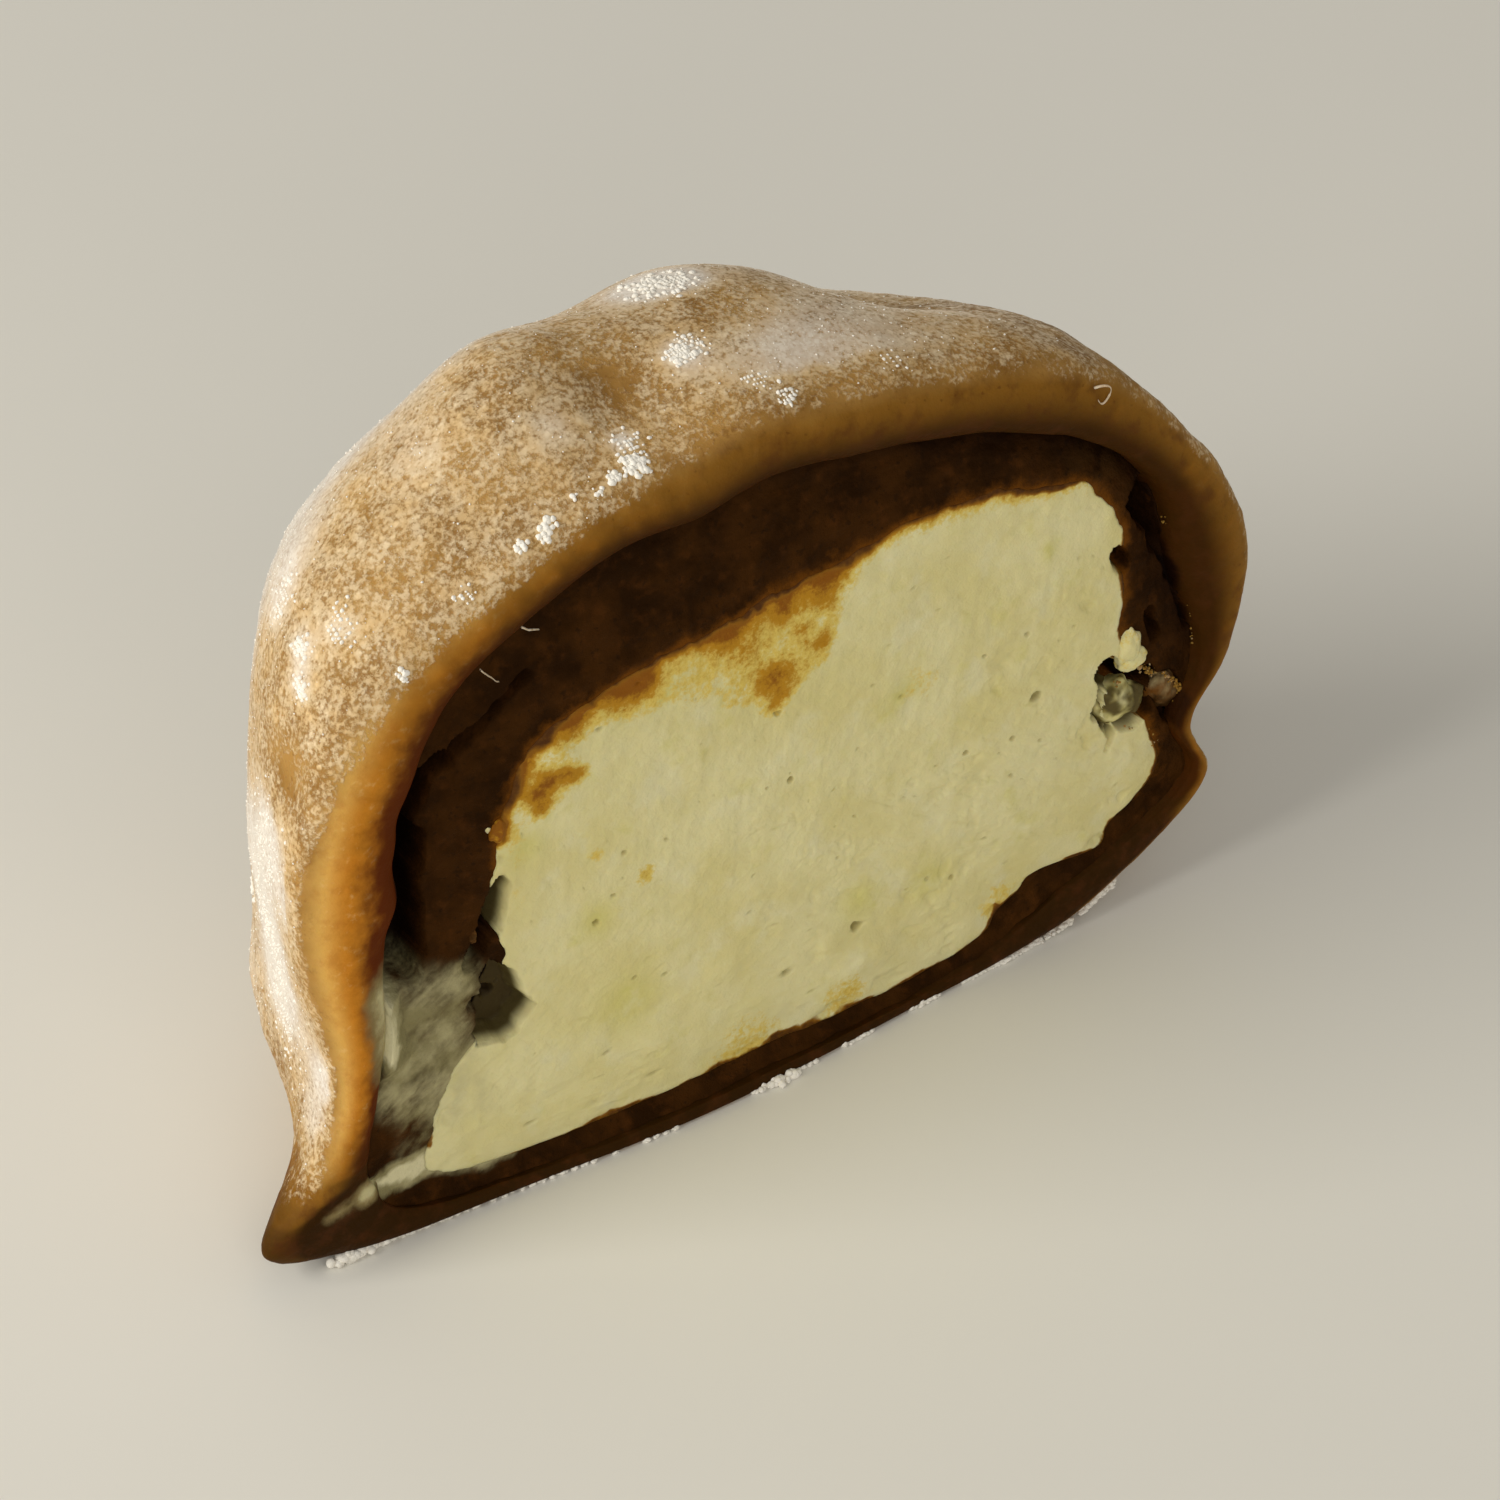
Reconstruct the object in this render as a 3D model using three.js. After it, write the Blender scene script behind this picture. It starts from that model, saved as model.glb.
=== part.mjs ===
// One half of a cafe au lait daifuku, cut through the middle with a knife and resting on its base.
// A soft coffee-coloured rice-cake skin wraps a layer of sweet bean paste flavoured with coffee, and
// that wraps a core of whipped milk cream.
// Millimetres. X runs along the cut from the dragged heel to the toe, Y runs from the cut into the body,
// and Z is up. The origin is the middle of the bounding box's underside.

import * as THREE from "three";

// Sizes of the whole half
const DEPTH = 27; // from the cut to the furthest point behind it
const POLE_HEIGHT = 15; // height of that furthest point
const FLAT_DEPTH = 18; // how far back the base lies flat
const PLAN_POWER = 2.0; // how round the body is, seen from above
const ROOF_POWER = 2.2; // how round the body is, seen from the side
const SKIN_BACK = 4.2; // skin behind the filling
const COFFEE_BACK = 7.0; // coffee paste behind the milk cream
const CLEARANCE = 0.3; // left between neighbouring layers
const WIDEST_CLEARANCE = 0.75; // where a layer is crossed at a slant
const GAP_STEP = 1e-3; // a small step round the cut, which shows the slant

// The knife pushes the soft skin down and outward, which fades out over this depth
const DRAG_FADE = 5.0;

// Under its own weight the foot of the cut bulges forward, most where the base is widest
const BULGE = { x: -4, width: 12, height: 2.5, depth: 4, forward: 1.1 };

// The cut's outline is given at stations round it, from the middle of the base towards the toe, over the
// crown, and down to the heel. x and z place the skin's outer edge. skin and coffee are the layers'
// thicknesses, measured towards the middle of the cut. sunk is how far the coffee paste lies behind the
// skin's lip. rearX and rearZ say how the body behind the cut differs from the dragged outline.
const CUT_MIDDLE = new THREE.Vector2(1, 15);
const STATIONS = [
  { name: "base middle", x: 0, z: 0, skin: 0.9, coffee: 0.8, sunk: 0.4, rearX: 0, rearZ: 0 },
  { name: "base right", x: 14.5, z: 0, skin: 1.3, coffee: 0.8, sunk: 0.5, rearX: 0, rearZ: 0 },
  { name: "toe", x: 23.8, z: 1.4, skin: 3.8, coffee: 1.8, sunk: 0.6, rearX: -2, rearZ: -1.2 },
  { name: "right foot", x: 30, z: 7, skin: 1.4, coffee: 2.1, sunk: 0.8, rearX: -1.2, rearZ: 0.3 },
  { name: "right waist", x: 29.1, z: 11.7, skin: 1.4, coffee: 1.5, sunk: 1, rearX: 1, rearZ: 0.5 },
  { name: "right flank", x: 31.6, z: 16, skin: 2.1, coffee: 5.1, sunk: 1.2, rearX: -1, rearZ: 0.3 },
  { name: "right cheek", x: 33, z: 23, skin: 4.7, coffee: 4.2, sunk: 1.6, rearX: -2.4, rearZ: 0 },
  { name: "right brow", x: 29, z: 31.2, skin: 3.3, coffee: 3.4, sunk: 2.2, rearX: -1, rearZ: 1.4 },
  { name: "right shoulder", x: 20.5, z: 40.1, skin: 4.7, coffee: 3.6, sunk: 2.8, rearX: -0.4, rearZ: 1.2 },
  { name: "crown", x: 4.5, z: 44.6, skin: 4.5, coffee: 7.2, sunk: 3, rearX: 0, rearZ: 2 },
  { name: "left crown", x: -3.5, z: 44.9, skin: 5.1, coffee: 7.9, sunk: 3, rearX: -0.3, rearZ: 2.4 },
  { name: "left shoulder", x: -11.5, z: 43.6, skin: 4.6, coffee: 8.5, sunk: 3, rearX: -0.5, rearZ: 3.3 },
  { name: "left brow", x: -23, z: 37.6, skin: 5.7, coffee: 6.6, sunk: 3.4, rearX: -0.7, rearZ: 3 },
  { name: "left cheek", x: -28, z: 26.5, skin: 6.6, coffee: 5.8, sunk: 3.4, rearX: 0.6, rearZ: 1 },
  { name: "left waist", x: -27, z: 13, skin: 3.4, coffee: 7.4, sunk: 1.4, rearX: -0.6, rearZ: 0 },
  { name: "heel top", x: -28.6, z: 6.4, skin: 3.9, coffee: 5.2, sunk: 0.8, rearX: 1.5, rearZ: 0 },
  { name: "heel", x: -32, z: 1.8, skin: 7.4, coffee: 4.2, sunk: 0.6, rearX: 7, rearZ: 0.8 },
  { name: "base left", x: -23, z: 0, skin: 2.4, coffee: 1.8, sunk: 0.5, rearX: 3, rearZ: 0 },
];

// Soft swellings and dimples of the skin: where, how far each reaches, and its height outward
const LUMPS = [
  { at: new THREE.Vector3(-9, 11, 47), reach: 5.0, height: 2.2 },
  { at: new THREE.Vector3(-6, 4, 46), reach: 3.5, height: -0.9 },
  { at: new THREE.Vector3(4.5, 15, 44), reach: 4.5, height: 2.0 },
  { at: new THREE.Vector3(16, 12, 42), reach: 3.5, height: -1.6 },
  { at: new THREE.Vector3(-23, 15, 9), reach: 4.5, height: 1.0 },
  { at: new THREE.Vector3(-27, 9, 12), reach: 5.0, height: -0.6 },
  { at: new THREE.Vector3(14, 21, 31), reach: 7.0, height: 0.9 },
  { at: new THREE.Vector3(-12, 22, 24), reach: 7.0, height: -0.7 },
];
const LUMP_ORIGIN = new THREE.Vector3(0, 4, 15); // lumps push the skin away from here

// The skin's rounded lip at the cut, and the edges of the two fillings
const LIP_SHARE = 0.5; // lip radius as a share of the skin's thickness
const LIP_SMALLEST = 0.4;
const LIP_LARGEST = 2.4;
const LIP_BLUNTNESS = 0.7; // under 1 flattens the front of the lip
const CREAM_EDGE = 1.0; // the cream's edge lies this far behind the lip
const CREAM_FACE = 0.5; // and the middle of its face this far
const COFFEE_FACE_POWER = 1.6; // how sharply the coffee paste dips beside the lip

// Fineness of the surfaces
const AROUND = 72;
const OUTER_ROWS = 13;
const LIP_ROWS = 8;
const INNER_ROWS = 10;
const FACE_ROWS = 5;

const mix = THREE.MathUtils.lerp;

// Smooth closed curve through one property of the stations, with u from 0 to 1 once round the cut
function stationValue(property, u) {
  const count = STATIONS.length;
  const first = Math.floor(u * count);
  const t = u * count - first;
  const [a, b, c, d] = [-1, 0, 1, 2].map((k) => STATIONS[(first + k + count) % count][property]);
  const bend = (2 * a - 5 * b + 4 * c - d) * t ** 2 + (3 * b - a - 3 * c + d) * t ** 3;
  return 0.5 * (2 * b + (c - a) * t + bend);
}

// A point of the cut, at a distance from its outer edge towards its middle
function pointWithin(u, distance) {
  const edge = new THREE.Vector2(stationValue("x", u), stationValue("z", u));
  const inward = CUT_MIDDLE.clone().sub(edge).normalize();
  return edge.addScaledVector(inward, distance);
}

// The gap between two layers, measured towards the middle, is longer where their border runs at a slant
function gapAt(u, border) {
  const here = pointWithin(u, border(u));
  const along = pointWithin((u + GAP_STEP) % 1, border((u + GAP_STEP) % 1)).sub(here).normalize();
  const slant = Math.abs(along.cross(CUT_MIDDLE.clone().sub(here).normalize()));
  return Math.min(CLEARANCE / slant, WIDEST_CLEARANCE);
}

const skinBorder = (u) => stationValue("skin", u);
const coffeeBorder = (u) => stationValue("skin", u) + stationValue("coffee", u);

// The outline at one place round the cut: the edges of skin, coffee paste and milk cream
function cutAt(u) {
  return {
    edge: pointWithin(u, 0),
    skinInside: pointWithin(u, skinBorder(u)),
    coffeeOutside: pointWithin(u, skinBorder(u) + gapAt(u, skinBorder)),
    coffeeInside: pointWithin(u, coffeeBorder(u)),
    creamOutside: pointWithin(u, coffeeBorder(u) + gapAt(u, coffeeBorder)),
    rear: new THREE.Vector2(stationValue("rearX", u), stationValue("rearZ", u)),
    sunk: stationValue("sunk", u),
    lip: THREE.MathUtils.clamp(LIP_SHARE * skinBorder(u), LIP_SMALLEST, LIP_LARGEST),
  };
}

// A point of the outline carried back to depth y, on a body that closes at its own depth
function carriedBack(point, rear, y, depth, flatDepth) {
  const share = Math.min(y / depth, 1);
  const plan = Math.pow(1 - Math.pow(share, PLAN_POWER), 1 / PLAN_POWER);
  const roof = Math.pow(1 - Math.pow(share, ROOF_POWER), 1 / ROOF_POWER);
  const lift = THREE.MathUtils.clamp((y - flatDepth) / (depth - flatDepth), 0, 1);
  const floor = Math.sqrt(1 - lift * lift);
  const undragged = 1 - Math.exp(-Math.pow(y / DRAG_FADE, 2));
  const x = (point.x + rear.x * undragged) * plan;
  const above = point.y + rear.y * undragged - POLE_HEIGHT;
  const z = POLE_HEIGHT + above * (above > 0 ? roof : floor);
  const apart = ((x - BULGE.x) / BULGE.width) ** 2 + (z / BULGE.height) ** 2 + (y / BULGE.depth) ** 2;
  return new THREE.Vector3(x, y - BULGE.forward * Math.exp(-apart), z);
}

// The skin's outer surface also has the lumps, and lies flat on the floor
function withLumps(point) {
  const away = point.clone().sub(LUMP_ORIGIN).normalize();
  let push = 0;
  for (const lump of LUMPS) {
    push += lump.height * Math.exp(-point.distanceToSquared(lump.at) / (2 * lump.reach * lump.reach));
  }
  const moved = point.clone().addScaledVector(away, push);
  moved.z = Math.max(moved.z, 0);
  return moved;
}

const skinOuter = (cut, y) => withLumps(carriedBack(cut.edge, cut.rear, y, DEPTH, FLAT_DEPTH));

const fillingDepth = DEPTH - SKIN_BACK;
const creamDepth = fillingDepth - CLEARANCE - COFFEE_BACK;
const flatInside = FLAT_DEPTH - SKIN_BACK / 2;
const flatCream = flatInside - COFFEE_BACK / 2;

const skinInner = (cut, y) => carriedBack(cut.skinInside, cut.rear, y, fillingDepth, flatInside);
const coffeeOuter = (cut, y) =>
  carriedBack(cut.coffeeOutside, cut.rear, y, fillingDepth - CLEARANCE, flatInside);
const coffeeInner = (cut, y) => carriedBack(cut.coffeeInside, cut.rear, y, creamDepth, flatCream);
const creamOuter = (cut, y) =>
  carriedBack(cut.creamOutside, cut.rear, y, creamDepth - CLEARANCE, flatCream);

// Depths of the rows of a wall, from just before its back pole to its front, closer together at the back
function wallDepths(front, depth, rows) {
  return Array.from({ length: rows }, (_, i) => {
    const angle = (Math.PI / 2) * (1 - (i + 1) / rows);
    return front + (depth - front) * Math.sin(angle);
  });
}

// Rings of points round the body make a closed surface between two end points
function closedSurface(rings, firstPole, lastPole) {
  const positions = [...firstPole.toArray()];
  for (const ring of rings) {
    for (const point of ring) {
      positions.push(...point.toArray());
    }
  }
  positions.push(...lastPole.toArray());
  const indices = [];
  const at = (row, column) => 1 + row * AROUND + (column % AROUND);
  const end = 1 + rings.length * AROUND;
  for (let column = 0; column < AROUND; column += 1) {
    indices.push(0, at(0, column + 1), at(0, column));
    for (let row = 0; row + 1 < rings.length; row += 1) {
      indices.push(at(row, column), at(row + 1, column + 1), at(row + 1, column));
      indices.push(at(row, column), at(row, column + 1), at(row + 1, column + 1));
    }
    indices.push(end, at(rings.length - 1, column), at(rings.length - 1, column + 1));
  }
  const geometry = new THREE.BufferGeometry();
  geometry.setAttribute("position", new THREE.Float32BufferAttribute(positions, 3));
  geometry.setIndex(indices);
  geometry.computeVertexNormals();
  return geometry;
}

const cuts = Array.from({ length: AROUND }, (_, i) => cutAt(i / AROUND));
const ringOf = (pointFor) => cuts.map(pointFor);

// A wall's rings, from its back pole forward to the front that each place round the cut has
function wallRings(surface, frontOf, depth, rows) {
  return Array.from({ length: rows }, (_, i) =>
    ringOf((cut) => surface(cut, wallDepths(frontOf(cut), depth, rows)[i])),
  );
}

function skinGeometry() {
  const lipOf = (cut) => cut.lip;
  const outer = wallRings(skinOuter, lipOf, DEPTH, OUTER_ROWS);
  const lip = Array.from({ length: LIP_ROWS - 1 }, (_, i) => {
    const angle = (Math.PI * (i + 1)) / LIP_ROWS;
    const inside = (1 - Math.cos(angle)) / 2;
    return ringOf((cut) => {
      const y = cut.lip * (1 - Math.pow(Math.sin(angle), LIP_BLUNTNESS));
      return skinOuter(cut, y).lerp(skinInner(cut, y), inside);
    });
  });
  const inner = wallRings(skinInner, lipOf, fillingDepth, INNER_ROWS).reverse();
  const [behind, within] = [skinOuter(cuts[0], DEPTH), skinInner(cuts[0], fillingDepth)];
  return closedSurface([...outer, ...lip, ...inner], behind, within);
}

function coffeeGeometry() {
  const outer = wallRings(coffeeOuter, (cut) => cut.sunk, fillingDepth - CLEARANCE, INNER_ROWS);
  const face = Array.from({ length: FACE_ROWS - 1 }, (_, i) => {
    const across = (i + 1) / FACE_ROWS;
    return ringOf((cut) => {
      const y = mix(CREAM_EDGE, cut.sunk, Math.pow(1 - across, COFFEE_FACE_POWER));
      return coffeeOuter(cut, y).lerp(coffeeInner(cut, y), across);
    });
  });
  const inner = wallRings(coffeeInner, () => CREAM_EDGE, creamDepth, INNER_ROWS - 1).reverse();
  const behind = coffeeOuter(cuts[0], fillingDepth - CLEARANCE);
  return closedSurface([...outer, ...face, ...inner], behind, coffeeInner(cuts[0], creamDepth));
}

function creamGeometry() {
  const depth = creamDepth - CLEARANCE;
  const outer = wallRings(creamOuter, () => CREAM_EDGE, depth, INNER_ROWS - 1);
  const middle = new THREE.Vector3(3, CREAM_FACE, 17);
  const face = Array.from({ length: FACE_ROWS - 1 }, (_, i) => {
    const across = (i + 1) / FACE_ROWS;
    return ringOf((cut) => {
      const rim = creamOuter(cut, CREAM_EDGE);
      const point = rim.clone().lerp(middle, across);
      point.y = mix(rim.y, CREAM_FACE, Math.sqrt(across));
      return point;
    });
  });
  return closedSurface([...outer, ...face], creamOuter(cuts[0], depth), middle);
}

function layer(name, geometry, color, roughness) {
  const material = new THREE.MeshStandardMaterial({ color, roughness, metalness: 0 });
  const mesh = new THREE.Mesh(geometry, material);
  mesh.name = name;
  return mesh;
}

const daifuku = new THREE.Group();
daifuku.add(layer("mochi_skin", skinGeometry(), 0xb98d5e, 0.75));
daifuku.add(layer("coffee_paste", coffeeGeometry(), 0x5d3820, 0.6));
daifuku.add(layer("milk_cream", creamGeometry(), 0xe9e2bd, 0.8));

// The origin goes to the middle of the underside
const box = new THREE.Box3().setFromObject(daifuku);
const centre = box.getCenter(new THREE.Vector3());
daifuku.position.set(-centre.x, -centre.y, -box.min.z);

export default daifuku;
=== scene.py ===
# One half of a cafe au lait daifuku, cut with a knife and standing on its flattened underside. A soft
# coffee-coloured rice-cake skin, dusted with starch, wraps coffee bean paste and whipped milk cream.
import itertools
import math

import bmesh
import bpy
import numpy as np
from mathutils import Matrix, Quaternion, Vector


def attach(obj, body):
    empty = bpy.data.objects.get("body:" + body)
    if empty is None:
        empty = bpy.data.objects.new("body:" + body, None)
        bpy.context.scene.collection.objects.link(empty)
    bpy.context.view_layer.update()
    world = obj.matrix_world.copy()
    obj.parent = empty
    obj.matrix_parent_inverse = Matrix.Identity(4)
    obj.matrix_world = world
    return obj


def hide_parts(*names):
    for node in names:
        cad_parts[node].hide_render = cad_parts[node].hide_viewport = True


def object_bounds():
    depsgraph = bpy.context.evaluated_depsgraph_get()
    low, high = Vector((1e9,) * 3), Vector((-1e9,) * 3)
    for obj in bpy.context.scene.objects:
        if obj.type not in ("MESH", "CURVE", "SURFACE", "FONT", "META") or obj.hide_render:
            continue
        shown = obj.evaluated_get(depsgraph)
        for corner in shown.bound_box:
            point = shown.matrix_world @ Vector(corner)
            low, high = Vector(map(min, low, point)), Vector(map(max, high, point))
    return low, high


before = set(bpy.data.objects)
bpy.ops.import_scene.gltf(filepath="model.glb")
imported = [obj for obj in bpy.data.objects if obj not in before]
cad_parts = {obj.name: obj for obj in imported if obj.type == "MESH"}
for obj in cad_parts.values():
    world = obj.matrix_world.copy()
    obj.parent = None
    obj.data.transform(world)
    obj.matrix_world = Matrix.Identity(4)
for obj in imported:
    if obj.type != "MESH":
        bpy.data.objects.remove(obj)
cad_low, cad_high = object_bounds()

# View and stage
# The camera looks down on the cut from the left and a little in front, close enough for the half to
# fill most of the picture. It stands on a plain pale table, in soft light from behind its left side.
MM = 0.001
SENSOR = 36
LENS = 148
AIM = Vector((0.56, -9.65, 20.64)) * MM
EYE_DISTANCE = 332 * MM
VIEW_AZIMUTH, VIEW_ELEVATION, VIEW_ROLL = (math.radians(angle) for angle in (-32.8, 40.4, -0.8))

camera = bpy.data.objects.new("camera", bpy.data.cameras.new("camera"))
camera.data.sensor_width = SENSOR
camera.data.lens = LENS
camera.data.clip_start = 10 * MM
towards_eye = Vector(
    (
        math.sin(VIEW_AZIMUTH) * math.cos(VIEW_ELEVATION),
        -math.cos(VIEW_AZIMUTH) * math.cos(VIEW_ELEVATION),
        math.sin(VIEW_ELEVATION),
    )
)
camera.location = AIM + towards_eye * EYE_DISTANCE
camera.rotation_mode = "QUATERNION"
camera.rotation_quaternion = towards_eye.to_track_quat("Z", "Y") @ Quaternion((0, 0, 1), VIEW_ROLL)
bpy.context.scene.collection.objects.link(camera)
bpy.context.scene.camera = camera
bpy.context.scene.view_settings.view_transform = "Standard"


def soft_lamp(name, place, watts, size, tint):
    """A square lamp of soft light that points at the half. place is in metres."""
    lamp = bpy.data.objects.new(name, bpy.data.lights.new(name, "AREA"))
    lamp.data.energy = watts
    lamp.data.size = size
    lamp.data.color = tint
    lamp.location = place
    lamp.rotation_mode = "QUATERNION"
    lamp.rotation_quaternion = (Vector(place) - AIM).to_track_quat("Z", "Y")
    bpy.context.scene.collection.objects.link(lamp)


soft_lamp("window_light", (-0.56, 0.08, 0.34), 3.4, 0.42, (1.0, 0.97, 0.90))
soft_lamp("front_fill", (-0.30, -0.75, 0.45), 2.2, 0.7, (1.0, 0.97, 0.92))

world = bpy.data.worlds.new("room")
bpy.context.scene.world = world
world.use_nodes = True
world.node_tree.nodes["Background"].inputs["Color"].default_value = (1.0, 0.97, 0.90, 1)
world.node_tree.nodes["Background"].inputs["Strength"].default_value = 0.32


class Ink:
    """A shader socket that can be used in arithmetic. Numbers go through Math nodes, and colours
    through over(), which lays one colour on another where the value is 1."""

    def __init__(self, tree, socket=None):
        self.tree = tree
        self.socket = socket

    def node(self, kind, settings=None, inputs=None, output=0):
        """A node of any kind: its settings first, then the values or links of its sockets."""
        made = self.tree.nodes.new(kind)
        for name, value in (settings or {}).items():
            setattr(made, name, value)
        for name, value in (inputs or {}).items():
            if isinstance(value, Ink):
                self.tree.links.new(value.socket, made.inputs[name])
            else:
                made.inputs[name].default_value = value
        return Ink(self.tree, made.outputs[output])

    def maths(self, operation, *values):
        return self.node("ShaderNodeMath", {"operation": operation}, dict(enumerate(values)))

    def __add__(self, other):
        return self.maths("ADD", self, other)

    def __sub__(self, other):
        return self.maths("SUBTRACT", self, other)

    def __mul__(self, other):
        return self.maths("MULTIPLY", self, other)

    def __rsub__(self, other):
        return self.maths("SUBTRACT", other, self)

    __radd__ = __add__
    __rmul__ = __mul__

    def step(self, low, high):
        """0 below low, 1 above high, and smooth between. low may be the larger one."""
        limits = {"Value": self, "From Min": low, "From Max": high}
        return self.node("ShaderNodeMapRange", {"interpolation_type": "SMOOTHSTEP"}, limits)

    def over(self, under, upper):
        """The colour upper laid over the colour under, as strongly as this value says."""
        return self.node("ShaderNodeMix", {"data_type": "RGBA"}, {0: self, 6: under, 7: upper}, 2)

    def place(self):
        return self.node("ShaderNodeTexCoord", output=3)

    def cloud(self, size, detail=3, roughness=0.55, stretch=None):
        """Random mottling from 0 to 1, about 0.5 on average. size is of its blotches, in mm."""
        where = self.place()
        if stretch:
            where = self.node("ShaderNodeMapping", {"vector_type": "TEXTURE"}, {0: where, **stretch})
        scale = 1 / (size * MM)
        inputs = {"Vector": where, "Scale": scale, "Detail": detail, "Roughness": roughness}
        return self.node("ShaderNodeTexNoise", {"noise_dimensions": "3D"}, inputs)

    def grains(self, size, share):
        """Ragged grains of about that size in mm: up to 1 in the middle of each, 0 between them, and
        only for the given share of them."""
        inputs = {"Vector": self.place(), "Scale": 1 / (size * MM)}
        near = self.node("ShaderNodeTexVoronoi", {"feature": "F1"}, inputs)
        chance = Ink(self.tree, near.socket.node.outputs["Color"])
        ragged = near + (self.cloud(size * 0.7, 2) - 0.5) * 0.9
        return ragged.step(0.6, 0.2) * (chance + share).step(0.75, 1.35)

    def mark(self, name):
        """A value that the piece's own shape carries, such as how far across the lip it is."""
        return self.node("ShaderNodeAttribute", {"attribute_name": name}, output=2)


def rgb(red, green, blue):
    return (red, green, blue, 1.0)


def finish_of(name, base, roughness, height, relief, **plain):
    """A material with a varying colour and roughness, and fine relief of the given height in mm."""
    material = bpy.data.materials.new(name)
    material.use_nodes = True
    surface = material.node_tree.nodes["Principled BSDF"]
    ink = Ink(material.node_tree)
    for socket, value in plain.items():
        surface.inputs[socket.replace("_", " ")].default_value = value
    links = material.node_tree.links
    links.new(base(ink).socket, surface.inputs["Base Color"])
    links.new(roughness(ink).socket, surface.inputs["Roughness"])
    if relief:
        bump = ink.node("ShaderNodeBump", inputs={"Height": relief(ink), "Distance": height * MM})
        links.new(bump.socket, surface.inputs["Normal"])
    return material


TABLE_HALF_WIDTH = 1.5
table = bpy.data.objects.new("table", bpy.data.meshes.new("table"))
corners = [(-1, -1), (1, -1), (1, 1), (-1, 1)]
table.data.from_pydata([(x * TABLE_HALF_WIDTH, y * TABLE_HALF_WIDTH, 0) for x, y in corners], [], [range(4)])
bpy.context.scene.collection.objects.link(table)
table.data.materials.append(
    finish_of(
        "pale_table",
        lambda ink: ink.cloud(40).over(rgb(0.78, 0.76, 0.70), rgb(0.81, 0.79, 0.73)),
        lambda ink: ink.cloud(9) * 0.1 + 0.5,
        0,
        None,
    )
)

# Rice-cake skin
# A sheet of steamed glutinous rice dough, coloured with coffee and milk, pinched shut round the
# filling and dusted with potato starch. The knife pressed its cut edge into a round, damp lip and
# dragged its left foot out into a heel.
CUT_MIDDLE = np.array([1.0, 15.0])
# name, x and z of the outer edge, thickness of skin and of paste, how far the paste lies behind the
# lip, how the body behind the cut is moved in x and z, how much painted light the damp lip has (1 for
# the painted glow of light shining through it, near 0 for painted shade, and below 0 the dark paste
# shows through), and how far across the lip the dusting reaches
STATIONS = [
    ("base middle", 0, 0, 0.9, 0.8, 0.4, 0, 0, -1.0, 0.0),
    ("base right", 14.5, 0, 1.3, 0.8, 0.5, 0, 0, -0.9, 0.0),
    ("toe", 23.8, 1.4, 3.8, 1.8, 0.6, -2, -1.2, 0.0, 0.02),
    ("right foot", 30, 7, 1.4, 2.1, 0.8, -1.2, 0.3, 0.3, 0.03),
    ("right waist", 29.1, 11.7, 1.4, 1.5, 1.0, 1, 0.5, 0.25, 0.05),
    ("right flank", 31.6, 16, 2.1, 5.1, 1.2, -1, 0.3, 0.1, 0.05),
    ("right cheek", 33, 23, 4.7, 4.2, 1.6, -2.4, 0, 0.14, 0.04),
    ("right brow", 29, 31.2, 3.3, 3.4, 2.2, -1, 1.4, 0.12, 0.04),
    ("right shoulder", 20.5, 40.1, 4.7, 3.6, 2.8, -0.4, 1.2, 0.06, -0.02),
    ("crown", 4.5, 44.6, 4.5, 7.2, 3.0, 0, 2, 0.12, -0.1),
    ("left crown", -3.5, 44.9, 5.1, 7.9, 3.0, -0.3, 2.4, 0.14, -0.06),
    ("left shoulder", -11.5, 43.6, 4.6, 8.5, 3.0, -0.5, 3.3, 0.24, 0.13),
    ("left brow", -23, 37.6, 5.7, 6.6, 3.4, -0.7, 3, 0.56, 0.13),
    ("left cheek", -28, 26.5, 6.6, 5.8, 3.4, 0.6, 1, 1.0, 0.0),
    ("left waist", -27, 13, 3.4, 7.4, 1.4, -0.6, 0, 1.0, 0.0),
    ("heel top", -28.6, 6.4, 3.9, 5.2, 0.8, 1.5, 0, 0.5, 0.04),
    ("heel", -32, 1.8, 7.4, 4.2, 0.6, 7, 0.8, 0.0, 0.02),
    ("base left", -23, 0, 2.4, 1.8, 0.5, 3, 0, -1.0, 0.0),
]
AROUND = 720
DEPTH, POLE_HEIGHT, FLAT_DEPTH = 27.0, 15.0, 18.0
PLAN_POWER, ROOF_POWER = 2.0, 2.2
SKIN_BACK, COFFEE_BACK = 4.2, 7.0
DRAG_FADE = 5.0
BULGE_MIDDLE, BULGE_WIDTH, BULGE_HEIGHT, BULGE_DEPTH, BULGE_FORWARD = -4, 12, 2.5, 4, 1.1
LIP_SHARE, LIP_SMALLEST, LIP_LARGEST, LIP_BLUNTNESS = 0.5, 0.4, 2.4, 0.7
CREAM_EDGE, CREAM_FACE = 1.0, 0.5
COFFEE_FACE_POWER = 1.6
TOUCHING = 0.03


def noise(points, size, seed, octaves=3):
    """Smooth random relief from -1 to 1 at points in mm. size is that of its largest features."""
    total, strength, full = 0, 1.0, 0.0
    for octave in range(octaves):
        cell = points * (2**octave / size) + 17.3 * seed + 5.1 * octave
        low = np.floor(cell).astype(np.int64)
        part = cell - low
        part = part * part * (3 - 2 * part)
        value = 0
        for corner in itertools.product((0, 1), repeat=3):
            key = (low + corner) @ np.array([73856093, 19349663, 83492791]) + 977 * seed
            key = ((key ^ (key >> 13)) * 1274126177) & 0x7FFFFFFF
            random = ((key ^ (key >> 15)) & 0xFFFF) / 32767.5 - 1
            value = value + random * np.prod(np.where(corner, part, 1 - part), axis=-1)
        total = total + strength * value
        full += strength
        strength *= 0.5
    return total / full


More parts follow.
